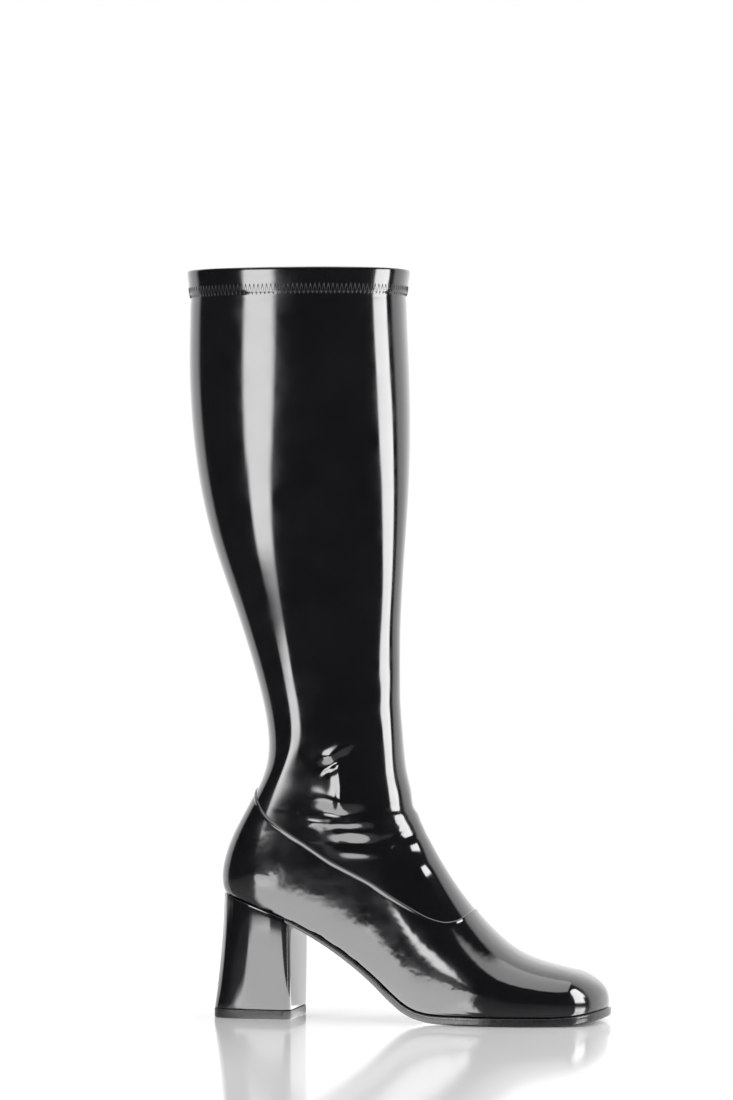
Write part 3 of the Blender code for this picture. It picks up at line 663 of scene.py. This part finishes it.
def make_stitches(material):
    """The zigzag that holds the hem, as short threads that dip in at their needle holes."""
    lines = []
    for below, height in STITCH_ENDS:
        rows = [LAST - (below + step) / COLLAR_RUN for step in (STITCH_ROW, 0, -STITCH_ROW)]
        grid = surface(np.array([np.full(AROUND, row) for row in rows]))
        out = normals(grid)[1]
        line = grid[1] + out * height
        lines.append((np.concatenate((line, line[:1])), out))
    steps = np.linalg.norm(np.diff(lines[0][0], axis=0), axis=1)
    around = np.concatenate(([0.0], np.cumsum(steps)))
    count = 2 * int(round(around[-1] / STITCH_PITCH))
    at = np.linspace(0, around[-1], count + 1)
    knots = []
    for k in range(count + 1):
        line, out = lines[k % 2]
        point = np.array([np.interp(at[k], around, line[:, c]) for c in range(3)])
        nearest = int(np.interp(at[k], around, np.arange(AROUND + 1))) % AROUND
        knots.append((point, out[nearest]))
    points, faces = [], []
    for k in range(count):
        (a, out), (b, _) = knots[k], knots[k + 1]
        along_it = (b - a) / np.linalg.norm(b - a)
        side = np.cross(along_it, out)
        start = len(points)
        for share, rise in STITCH:
            centre = a + (b - a) * share + out * THREAD * rise
            for s in range(THREAD_SIDES):
                turn = 2 * math.pi * s / THREAD_SIDES
                points.append(centre + THREAD * (math.cos(turn) * side + math.sin(turn) * out))
        for i in range(len(STITCH) - 1):
            for s in range(THREAD_SIDES):
                n = (s + 1) % THREAD_SIDES
                low, high = start + i * THREAD_SIDES, start + (i + 1) * THREAD_SIDES
                faces.append((low + s, high + s, high + n, low + n))
        faces.append(tuple(start + s for s in range(THREAD_SIDES)))
        end = start + (len(STITCH) - 1) * THREAD_SIDES
        faces.append(tuple(end + THREAD_SIDES - 1 - s for s in range(THREAD_SIDES)))
    piece = mesh_object("hem_stitches", points, faces, material)


class Form:
    """The loft as a closed body that can be measured where the sole's top meets it."""

    def __init__(self):
        grid = LOFT[:: FINE // FORM_RINGS, ::HALVED]
        count = grid.shape[1]
        faces = grid_faces(len(grid), count)
        faces.append(tuple(range(count)))
        self.tree = BVHTree.FromPolygons([Vector(p) for p in grid.reshape(-1, 3)], faces)
        self.nose = along(FOOT_ROWS[0][0])
        self.tip = self.meet((self.nose, TOE_DRIFT, sole_top(self.nose + NOSE_LENGTH)), (1, 0, 0)).x
        self.back = self.meet((BREAST, 0, sole_top(HEEL_BACK)), (-1, 0, 0)).x

    def meet(self, start, way):
        return self.tree.ray_cast(Vector([float(v) for v in start]), Vector(way))[0]

    def sides(self, x):
        reach = max(0.0, x - self.nose) / NOSE_LENGTH
        centre = TOE_DRIFT * reach**2
        start = (x, centre, sole_top(x))
        found = [self.meet(start, (0, side, 0)) for side in (-1, 1)]
        return [centre if hit is None else hit.y for hit in found]

    def outline(self, stations, offset):
        """Pairs of points round the form's outline at the stations, moved outward by offset(x)."""
        pairs = [[(x, y) for y in self.sides(x)] for x in stations]
        loop = [p[0] for p in pairs] + [p[1] for p in pairs[::-1]]
        moved = []
        for i, (x, y) in enumerate(loop):
            px, py = loop[i - 1]
            qx, qy = loop[(i + 1) % len(loop)]
            length = math.hypot(qx - px, qy - py)
            nx, ny = (qy - py) / length, (px - qx) / length
            moved.append((x - nx * offset(x), y - ny * offset(x)))
        return [(moved[k], moved[-1 - k]) for k in range(len(pairs))]


def cosine_stations(start, end, count, round_start, round_end):
    t = np.linspace(0, 1, count)
    if round_start and round_end:
        t = (1 - np.cos(math.pi * t)) / 2
    elif round_start:
        t = 1 - np.cos(math.pi / 2 * t)
    elif round_end:
        t = np.sin(math.pi / 2 * t)
    return start + (end - start) * t


def raised(outline, height):
    return [tuple((x, y, float(height(x))) for x, y in pair) for pair in outline]


def straight_end(outline, x):
    (_, outer), (_, inner) = outline[-1]
    return [*outline[:-1], ((x, outer), (x, inner))]


def plate(name, loops, material, across):
    """A solid through loops, bottom first, with several faces across its top and bottom."""
    bm = bmesh.new()
    made = []
    for loop in loops:
        made.append([(bm.verts.new(a), bm.verts.new(b)) for a, b in loop])
    for below, over in zip(made, made[1:]):
        for k in range(len(below) - 1):
            for side in (0, 1):
                bm.faces.new((below[k][side], below[k + 1][side], over[k + 1][side], over[k][side]))
        for k in (0, len(below) - 1):
            bm.faces.new((below[k][0], below[k][1], over[k][1], over[k][0]))
    for loop in (made[0], made[-1]):
        rows = []
        for a, b in loop:
            inner = [bm.verts.new(a.co.lerp(b.co, step / across)) for step in range(1, across)]
            rows.append([a, *inner, b])
        for near, far in zip(rows, rows[1:]):
            for step in range(across):
                bm.faces.new((near[step], far[step], far[step + 1], near[step + 1]))
    bmesh.ops.recalc_face_normals(bm, faces=bm.faces)
    mesh = bpy.data.meshes.new(name)
    bm.to_mesh(mesh)
    bm.free()
    return placed(name, mesh, material)


TIP_INSET = 0.00005  # the sole's first station, behind the toe's tip
SOLE_NOSE_STATIONS = 30
SOLE_STATIONS = 90
PLATE_ROWS = 8  # faces across a plate's top and bottom
# Sole's edge: inset from its outline, height as (share of the way up, metres up from there)
SOLE_PROFILE = (
    (0.0016, 0.0, 0.00000),
    (0.0011, 0.0, 0.00006),
    (0.0006, 0.0, 0.00028),
    (0.0002, 0.0, 0.00070),
    (0.0000, 0.0, 0.00120),
    (0.0000, 1.0, -0.00070),
    (0.0001, 1.0, -0.00035),
    (0.0004, 1.0, -0.00010),
    (0.0008, 1.0, 0.00000),
    (0.0014, 1.0, -0.00010),
    (0.0026, 1.0, -0.00015),
)


def make_sole(form, material):
    def edge(x):
        return FOOT_PROUD + SOLE_EDGE * float(forefoot_share(x))

    nose = cosine_stations(form.tip - TIP_INSET, form.nose, SOLE_NOSE_STATIONS, True, False)
    stations = np.concatenate((nose, np.linspace(form.nose, LAP_X, SOLE_STATIONS)[1:]))
    loops = []
    for inset, share, up in SOLE_PROFILE:
        outline = form.outline(stations, lambda x: edge(x) - inset)

        def height(x):
            low, high = sole_bottom(x), sole_top(x)
            return low + (high - low) * share + up

        loops.append(raised(straight_end(outline, LAP_X), height))
    piece = plate("sole", loops, material, PLATE_ROWS)
    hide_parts("outsole")


# Sock's edge: inset from the last, height
SOCK_PROFILE = (
    (0.0028, 0.0),
    (0.0022, 0.0),
    (0.0021, INSOLE_THICKNESS - 0.0006),
    (0.0025, INSOLE_THICKNESS - 0.0001),
    (0.0032, INSOLE_THICKNESS),
)
SOCK_INSET = 0.0006  # its first and last stations, from the tip and the back
SOCK_STATIONS = 90


def make_insole(form, material):
    start, end = form.tip - SOCK_INSET, form.back + SOCK_INSET
    stations = cosine_stations(start, end, SOCK_STATIONS, True, True)
    loops = []
    for inset, up in SOCK_PROFILE:
        outline = form.outline(stations, lambda x: FOOT_PROUD - inset)
        loops.append(raised(outline, lambda x: sole_top(x) + GAP + up))
    piece = plate("sock", loops, material, PLATE_ROWS)
    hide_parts("insole")


HEEL_STATIONS = 44
CORNER_STATIONS = (0.0, 0.03, 0.09, 0.18, 0.3, 0.45, 0.62, 0.8)
HEEL_LEVELS = 26
BLOCK_ROWS = 6  # faces across the heel's and the lift's top and bottom
# Rim of the heel's top: inset, depth below the seat
HEEL_TOP = (
    (0.00000, 0.0012),
    (0.00003, 0.0009),
    (0.00015, 0.0006),
    (0.00035, 0.0004),
    (0.00070, 0.0003),
)
HEEL_FOOT = ((0.0004, 0.0), (0.0001, 0.0002))  # rim of its bottom: inset, height
HEEL_FIRST = 0.008  # share of its height at which the side's levels begin
LIFT_BACK_INSET = 0.00001  # last stations of lift and heel, before the very back
SEAT_BACK_INSET = 0.00002
# Lift's edge: inset, height
LIFT_PROFILE = (
    (0.0008, 0.0),
    (0.0003, 0.0001),
    (0.0, 0.0006),
    (0.0, LIFT_THICKNESS - 0.0003),
    (0.0003, LIFT_THICKNESS),
)


def heel_stations(back):
    corner = [BREAST - HEEL_CORNER * share for share in CORNER_STATIONS]
    rest = cosine_stations(BREAST - HEEL_CORNER, back, HEEL_STATIONS, False, True)
    return [*corner, *rest]


def corner_inset(x):
    inside = max(0.0, x - (BREAST - HEEL_CORNER))
    return HEEL_CORNER - math.sqrt(max(HEEL_CORNER**2 - inside**2, 0.0))


def lift_outline():
    pairs = []
    for x in heel_stations(HEEL_BACK + LIFT_BACK_INSET):
        share = (BREAST - x) / HEEL_LENGTH
        round_back = (1 - share**HEEL_SQUARENESS) ** (1 / HEEL_SQUARENESS)
        half = HEEL_WIDTH / 2 * round_back * (1 - HEEL_TAPER * share) - corner_inset(x)
        pairs.append(((x, -half), (x, half)))
    return pairs


def seat_outline(form):
    stations = heel_stations(form.back + SEAT_BACK_INSET)
    pairs = []
    for (x, outer), (_, inner) in form.outline(stations, lambda x: FOOT_PROUD + HEEL_RIM):
        x = min(x, BREAST)
        pairs.append(((x, outer + corner_inset(x)), (x, inner - corner_inset(x))))
    return pairs


def drawn_in(outline, inset):
    """The outline made smaller all round by the inset."""
    centre = sum(pair[0][0] for pair in outline) / len(outline)

    def nearer(value, middle):
        return value - math.copysign(min(inset, abs(value - middle)), value - middle)

    return [tuple((nearer(x, centre), nearer(y, 0.0)) for x, y in pair) for pair in outline]


def make_heel(form, material):
    low, top = lift_outline(), seat_outline(form)
    base = LIFT_THICKNESS + GAP
    loops = [raised(drawn_in(low, inset), lambda x: base + up) for inset, up in HEEL_FOOT]
    for share in np.linspace(HEEL_FIRST, 1.0, HEEL_LEVELS):
        bend = 1 - (1 - share) ** HEEL_FLARE
        loop = []
        for pair_low, pair_top in zip(low, top):
            pair = []
            for (x_low, y_low), (x_top, y_top) in zip(pair_low, pair_top):
                x = x_low + (x_top - x_low) * bend
                y = y_low + (y_top - y_low) * bend
                height = float(sole_top(x)) - HEEL_TOP[0][1] - base
                pair.append((x, y, base + height * share))
            loop.append(tuple(pair))
        loops.append(loop)
    for inset, below in HEEL_TOP[1:]:
        loops.append(raised(drawn_in(top, inset), lambda x: sole_top(x) - below))
    piece = plate("heel_cover", loops, material, BLOCK_ROWS)
    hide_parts("heel")


def make_lift(material):
    outline = lift_outline()
    loops = [raised(drawn_in(outline, inset), lambda x: up) for inset, up in LIFT_PROFILE]
    piece = plate("heel_lift", loops, material, BLOCK_ROWS)
    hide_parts("top_lift")


# Materials

NOISE_SPAN = (0.3, 0.7)  # where nearly all of a noise's values lie
CLOTH_SHADE = 0.55  # a cloth's darkest tone, as a share of its colour
CLOTH_ROWS = 1.4  # its rows for each rib


def ranged(node, *limits):
    for name, value in zip(("From Min", "From Max", "To Min", "To Max"), limits):
        node.inputs[name].default_value = value


class Look:
    """A material's node tree, built step by step."""

    def __init__(self, name):
        self.material = bpy.data.materials.new(name)
        self.material.use_nodes = True
        self.tree = self.material.node_tree
        self.shader = self.tree.nodes["Principled BSDF"]
        self.place = self.add("ShaderNodeTexCoord").outputs["Object"]

    def add(self, kind, **inputs):
        node = self.tree.nodes.new(kind)
        for name, value in inputs.items():
            node.inputs[name.replace("_", " ")].default_value = value
        return node

    def link(self, start, end):
        self.tree.links.new(start, end)

    def set(self, **inputs):
        for name, value in inputs.items():
            self.shader.inputs[name.replace("_", " ")].default_value = value

    def drive(self, name, value):
        self.link(value, self.shader.inputs[name])

    def finish(self, shader):
        self.link(shader, self.tree.nodes["Material Output"].inputs["Surface"])

    def noise(self, scale, detail=2.0, rough=0.5):
        node = self.add("ShaderNodeTexNoise", Scale=scale, Detail=detail, Roughness=rough)
        self.link(self.place, node.inputs["Vector"])
        return node.outputs["Fac"]

    def spread(self, value, low, high):
        """A noise's value spread over low to high."""
        node = self.add("ShaderNodeMapRange")
        ranged(node, *NOISE_SPAN, low, high)
        self.link(value, node.inputs["Value"])
        return node.outputs["Result"]

    def bump(self, height, distance, before=None):
        node = self.add("ShaderNodeBump", Strength=1.0, Distance=distance)
        self.link(height, node.inputs["Height"])
        if before is not None:
            self.link(before, node.inputs["Normal"])
        return node.outputs["Normal"]

    def colour(self, value, first, second):
        node = self.add("ShaderNodeMix")
        node.data_type = "RGBA"
        node.inputs[6].default_value = (*first, 1.0)
        node.inputs[7].default_value = (*second, 1.0)
        self.link(value, node.inputs[0])
        return node.outputs[2]


def patent(name, ripple, ripple_scale, grain):
    """Black patent: a mirror coat over black, a little rippled. The grain has a scale and depth."""
    look = Look(name)
    look.set(Base_Color=(0.006, 0.006, 0.007, 1.0), IOR=1.5)
    look.set(Coat_Weight=1.0, Coat_Roughness=0.02, Coat_IOR=1.6)
    waves = look.bump(look.noise(ripple_scale, 1.5, 0.4), ripple)
    fine = look.bump(look.noise(grain[0], 2.0), grain[1], waves)
    look.drive("Roughness", look.spread(look.noise(60.0, 3.0), 0.08, 0.20))
    tone = look.colour(look.noise(25.0, 2.0), (0.004, 0.004, 0.005), (0.010, 0.010, 0.012))
    look.drive("Base Color", tone)
    look.drive("Normal", fine)
    look.drive("Coat Normal", fine)
    return look.material


def polished_resin():
    """The sole: black, polished at its edge, with fine scuffs."""
    look = Look("sole_resin")
    look.set(Coat_Weight=0.5, Coat_Roughness=0.12)
    tone = look.colour(look.noise(90.0, 3.0), (0.012, 0.012, 0.013), (0.024, 0.024, 0.025))
    look.drive("Base Color", tone)
    look.drive("Roughness", look.spread(look.noise(400.0, 4.0), 0.22, 0.42))
    look.drive("Normal", look.bump(look.noise(1800.0, 3.0), 0.00004))
    return look.material


def rubber():
    look = Look("lift_rubber_look")
    look.set(Coat_Weight=0.1, Coat_Roughness=0.3)
    tone = look.colour(look.noise(150.0, 3.0), (0.010, 0.010, 0.010), (0.026, 0.026, 0.026))
    look.drive("Base Color", tone)
    look.drive("Roughness", look.spread(look.noise(500.0, 4.0), 0.35, 0.6))
    look.drive("Normal", look.bump(look.noise(2500.0, 2.0), 0.00006))
    return look.material


def knit(name, colour, scale):
    """Lining cloth: fine ribs crossed by finer rows."""
    look = Look(name)
    look.set(Roughness=0.85, Sheen_Weight=0.35, Sheen_Roughness=0.4)
    ribs = look.add("ShaderNodeTexWave", Scale=scale, Distortion=0.6, Detail=1.0)
    ribs.bands_direction = "X"
    rows = look.add("ShaderNodeTexWave", Scale=scale * CLOTH_ROWS, Distortion=0.6, Detail=1.0)
    rows.bands_direction = "Z"
    look.link(look.place, ribs.inputs["Vector"])
    look.link(look.place, rows.inputs["Vector"])
    first = look.bump(ribs.outputs["Fac"], 0.00008)
    both = look.bump(rows.outputs["Fac"], 0.00006, first)
    dark = tuple(CLOTH_SHADE * c for c in colour)
    look.drive("Base Color", look.colour(look.noise(220.0, 3.0), dark, colour))
    look.drive("Normal", both)
    return look.material


def thread():
    """Twisted black thread with a soft shine."""
    look = Look("black_thread")
    look.set(Roughness=0.42, Sheen_Weight=0.3)
    twist = look.add("ShaderNodeTexWave", Scale=900.0, Distortion=0.3)
    twist.bands_direction = "DIAGONAL"
    look.link(look.place, twist.inputs["Vector"])
    height = twist.outputs["Fac"]
    # The colour follows the twist's height: painted shade in its grooves, lighter on its crests.
    tone = look.colour(height, (0.010, 0.010, 0.012), (0.050, 0.050, 0.055))
    look.drive("Base Color", tone)
    look.drive("Normal", look.bump(height, 0.00008))
    return look.material


# Studio

WHITE = (1.0, 1.0, 1.0, 1.0)
FLOOR_WHITE = (0.85, 0.85, 0.85, 1.0)
FLOOR_RADIUS = 6.0
FLOOR_SIDES = 96
FLOOR_SEEN = (1.6, 4.5)  # metres over which the floor fades into the background
GLOW_REACH = (0.15, 0.90)  # metres over which the floor's own white comes up
FLOOR_GLOW = (0.10, 0.25)
TABLE = (0.62, 0.72)  # how far the floor reaches to the boot's gloss, as a table does
TABLE_MIRROR = 0.7
# Where the floor beside the boot is bright to its gloss. Its two edges: bearing, place right of
# the origin, half the width of the fade. SHEEN_END: the distances over which it ends.
SHEEN_LEFT = (-52.0, 0.01, 0.02)
SHEEN_RIGHT = (-28.0, 0.126, 0.012)
SHEEN_END = (0.34, 0.48)
SHEEN = 4.0
WALL_BEARINGS = (106.0, 244.0)  # the white background, from the camera's side
WALL_SOFTNESS = 4.0
DARK = 0.012


def maths(look, operation, first, second=None, clamp=False):
    node = look.add("ShaderNodeMath")
    node.operation = operation
    node.use_clamp = clamp
    look.link(first, node.inputs[0])
    if second is not None:
        look.link(second, node.inputs[1])
    return node.outputs[0]


def mixed(look, share, first, second):
    """The first shader where the share is 0, the second where it is 1."""
    node = look.add("ShaderNodeMixShader")
    for socket, output in enumerate((share, first, second)):
        look.link(output, node.inputs[socket])
    return node.outputs[0]


def faded(look, value, first, last, near, far):
    node = look.add("ShaderNodeMapRange")
    node.interpolation_type = "SMOOTHSTEP"
    ranged(node, first, last, near, far)
    look.link(value, node.inputs["Value"])
    return node.outputs["Result"]


def right_of(look, bearing, offset, soft):
    """1 right of a line across the floor, 0 left of it."""
    angle = math.radians(bearing + CAMERA_TURN)
    side = look.add("ShaderNodeVectorMath")
    side.operation = "DOT_PRODUCT"
    side.inputs[1].default_value = (math.cos(angle), math.sin(angle), 0.0)
    look.link(look.place, side.inputs[0])
    return faded(look, side.outputs["Value"], offset - soft, offset + soft, 0.0, 1.0)


def floor_sheen(look, distance):
    """The patch of floor beside the boot that is bright to its gloss."""
    share = faded(look, distance, *SHEEN_END, 1.0, 0.0)
    between = maths(look, "SUBTRACT", right_of(look, *SHEEN_LEFT), right_of(look, *SHEEN_RIGHT))
    return maths(look, "MULTIPLY", between, share, clamp=True)


def make_floor():
    """A glossy white floor: wide to the eye, the size of a table to the boot's gloss."""
    bm = bmesh.new()
    bmesh.ops.create_circle(bm, cap_ends=True, radius=FLOOR_RADIUS, segments=FLOOR_SIDES)
    mesh = bpy.data.meshes.new("studio_floor")
    bm.to_mesh(mesh)
    bm.free()
    floor = bpy.data.objects.new("studio_floor", mesh)
    bpy.context.scene.collection.objects.link(floor)
    look = Look("studio_floor_look")
    look.set(Base_Color=FLOOR_WHITE, Roughness=0.09, IOR=1.5, Emission_Color=WHITE)
    length = look.add("ShaderNodeVectorMath")
    length.operation = "LENGTH"
    look.link(look.place, length.inputs[0])
    away = length.outputs["Value"]
    look.drive("Emission Strength", faded(look, away, *GLOW_REACH, *FLOOR_GLOW))
    mirror = look.add("ShaderNodeBsdfPrincipled", Roughness=0.05, Metallic=TABLE_MIRROR)
    mirror.inputs["Base Color"].default_value = FLOOR_WHITE
    bright = look.add("ShaderNodeEmission", Strength=SHEEN).outputs[0]
    clear = look.add("ShaderNodeBsdfTransparent").outputs[0]
    table = mixed(look, floor_sheen(look, away), mirror.outputs[0], bright)
    to_eye = mixed(look, faded(look, away, *FLOOR_SEEN, 1.0, 0.0), clear, look.shader.outputs[0])
    to_gloss = mixed(look, faded(look, away, *TABLE, 1.0, 0.0), clear, table)
    glossy = look.add("ShaderNodeLightPath").outputs["Is Glossy Ray"]
    look.finish(mixed(look, glossy, to_eye, to_gloss))
    mesh.materials.append(look.material)


def make_world():
    """White behind the boot and to the eye, dark elsewhere to its gloss."""
    world = bpy.data.worlds.new("studio")
    world.use_nodes = True
    nodes, links = world.node_tree.nodes, world.node_tree.links
    room = nodes["Background"]
    room.inputs["Color"].default_value = WHITE
    place = nodes.new("ShaderNodeTexCoord")
    behind = nodes.new("ShaderNodeVectorMath")
    behind.operation = "DOT_PRODUCT"
    middle = math.radians(sum(WALL_BEARINGS) / 2 + CAMERA_TURN)
    half = (WALL_BEARINGS[1] - WALL_BEARINGS[0]) / 2
    edges = [math.cos(math.radians(half + step)) for step in (WALL_SOFTNESS, -WALL_SOFTNESS)]
    behind.inputs[1].default_value = (math.sin(middle), -math.cos(middle), 0.0)
    links.new(place.outputs["Generated"], behind.inputs[0])
    wall = nodes.new("ShaderNodeMapRange")
    ranged(wall, *edges, DARK, 1.0)
    links.new(behind.outputs["Value"], wall.inputs["Value"])
    links.new(wall.outputs["Result"], room.inputs["Strength"])
    white = nodes.new("ShaderNodeBackground")
    white.inputs["Color"].default_value = WHITE
    white.inputs["Strength"].default_value = 1.0
    seen = nodes.new("ShaderNodeLightPath")
    choice = nodes.new("ShaderNodeMixShader")
    links.new(seen.outputs["Is Camera Ray"], choice.inputs[0])
    links.new(room.outputs[0], choice.inputs[1])
    links.new(white.outputs[0], choice.inputs[2])
    links.new(choice.outputs[0], nodes["World Output"].inputs["Surface"])
    bpy.context.scene.world = world


PANEL_CENTRE = (0.05, 0.0)
# Standing panels: distance from there, two bearings, bottom, top, radiance, soft edge
PANELS = {
    "left_panel": (0.5, (-54.0, -31.0), 0.12, 0.46, 7.0, 0.04),
    "right_panel": (0.5, (62.0, 92.0), 0.10, 0.42, 8.0, 0.04),
    "left_far_panel": (1.7, (-55.0, -30.0), 0.06, 0.95, 7.0, 0.14),
    "right_far_panel": (1.7, (61.5, 93.5), 0.06, 0.80, 8.0, 0.14),
}
TOP_PANEL = (2.4, 2.4, 2.0, 0.3)  # width, length, radiance, soft edge
TOP_HEIGHT = 2.0


def panel(name, width, tall, radiance, soft):
    """A glowing sheet with soft edges, which the camera doesn't see. It shines along its +Z."""
    bm = bmesh.new()
    bmesh.ops.create_grid(bm, x_segments=1, y_segments=1, size=0.5)
    mesh = bpy.data.meshes.new(name)
    bm.to_mesh(mesh)
    bm.free()
    sheet = bpy.data.objects.new(name, mesh)
    sheet.scale = (width, tall, 1.0)
    sheet.visible_camera = False
    bpy.context.scene.collection.objects.link(sheet)
    look = Look(name + "_glow")
    parts = look.add("ShaderNodeSeparateXYZ")
    look.link(look.place, parts.inputs[0])
    edges = []
    for axis, share in ((0, soft / width), (1, soft / tall)):
        off = maths(look, "ABSOLUTE", parts.outputs[axis])
        edges.append(faded(look, off, 0.5 - share, 0.5, 1.0, 0.0))
    clear = look.add("ShaderNodeBsdfTransparent").outputs[0]
    glow = look.add("ShaderNodeEmission", Strength=radiance).outputs[0]
    look.finish(mixed(look, maths(look, "MULTIPLY", *edges), clear, glow))
    mesh.materials.append(look.material)
    return sheet


def standing_panel(name, distance, bearings, low, high, radiance, soft):
    """A panel that stands between two bearings from the camera's side, positive to its right."""
    middle = math.radians(sum(bearings) / 2 + CAMERA_TURN)
    half = math.radians((bearings[1] - bearings[0]) / 2)
    width = 2 * distance * math.tan(half)
    sheet = panel(name, width, high - low, radiance, soft)
    x = PANEL_CENTRE[0] + distance * math.sin(middle)
    y = PANEL_CENTRE[1] - distance * math.cos(middle)
    sheet.location = (x, y, (low + high) / 2)
    way = Vector((PANEL_CENTRE[0] - x, PANEL_CENTRE[1] - y, 0.0))
    sheet.rotation_euler = way.to_track_quat("Z", "Y").to_euler()


def make_lights():
    for name, values in PANELS.items():
        standing_panel(name, *values)
    top = panel("top_panel", *TOP_PANEL)
    top.location = (0.0, 0.0, TOP_HEIGHT)
    top.rotation_euler = (math.pi, 0.0, 0.0)


def make_camera():
    data = bpy.data.cameras.new("photo_camera")
    data.lens = CAMERA_LENS
    data.sensor_width = SENSOR
    data.clip_end = CAMERA_REACH
    camera = bpy.data.objects.new("photo_camera", data)
    camera.location = CAMERA_PLACE
    camera.rotation_euler = (math.pi / 2, 0.0, math.radians(CAMERA_TURN))
    bpy.context.scene.collection.objects.link(camera)
    bpy.context.scene.camera = camera


make_camera()
FORM = Form()
make_foot(patent("foot_patent_look", 0.00010, 150.0, (700.0, 0.000004)))
make_leg(patent("leg_patent_look", 0.00006, 40.0, (500.0, 0.000003)))
make_lining(knit("lining_knit", (0.045, 0.045, 0.048), 500.0))
make_stitches(thread())
make_sole(FORM, polished_resin())
make_insole(FORM, knit("sock_cloth", (0.060, 0.060, 0.062), 420.0))
make_heel(FORM, patent("heel_patent_look", 0.00003, 60.0, (700.0, 0.000003)))
make_lift(rubber())
make_floor()
make_world()
make_lights()
bpy.context.scene.view_settings.view_transform = "Standard"
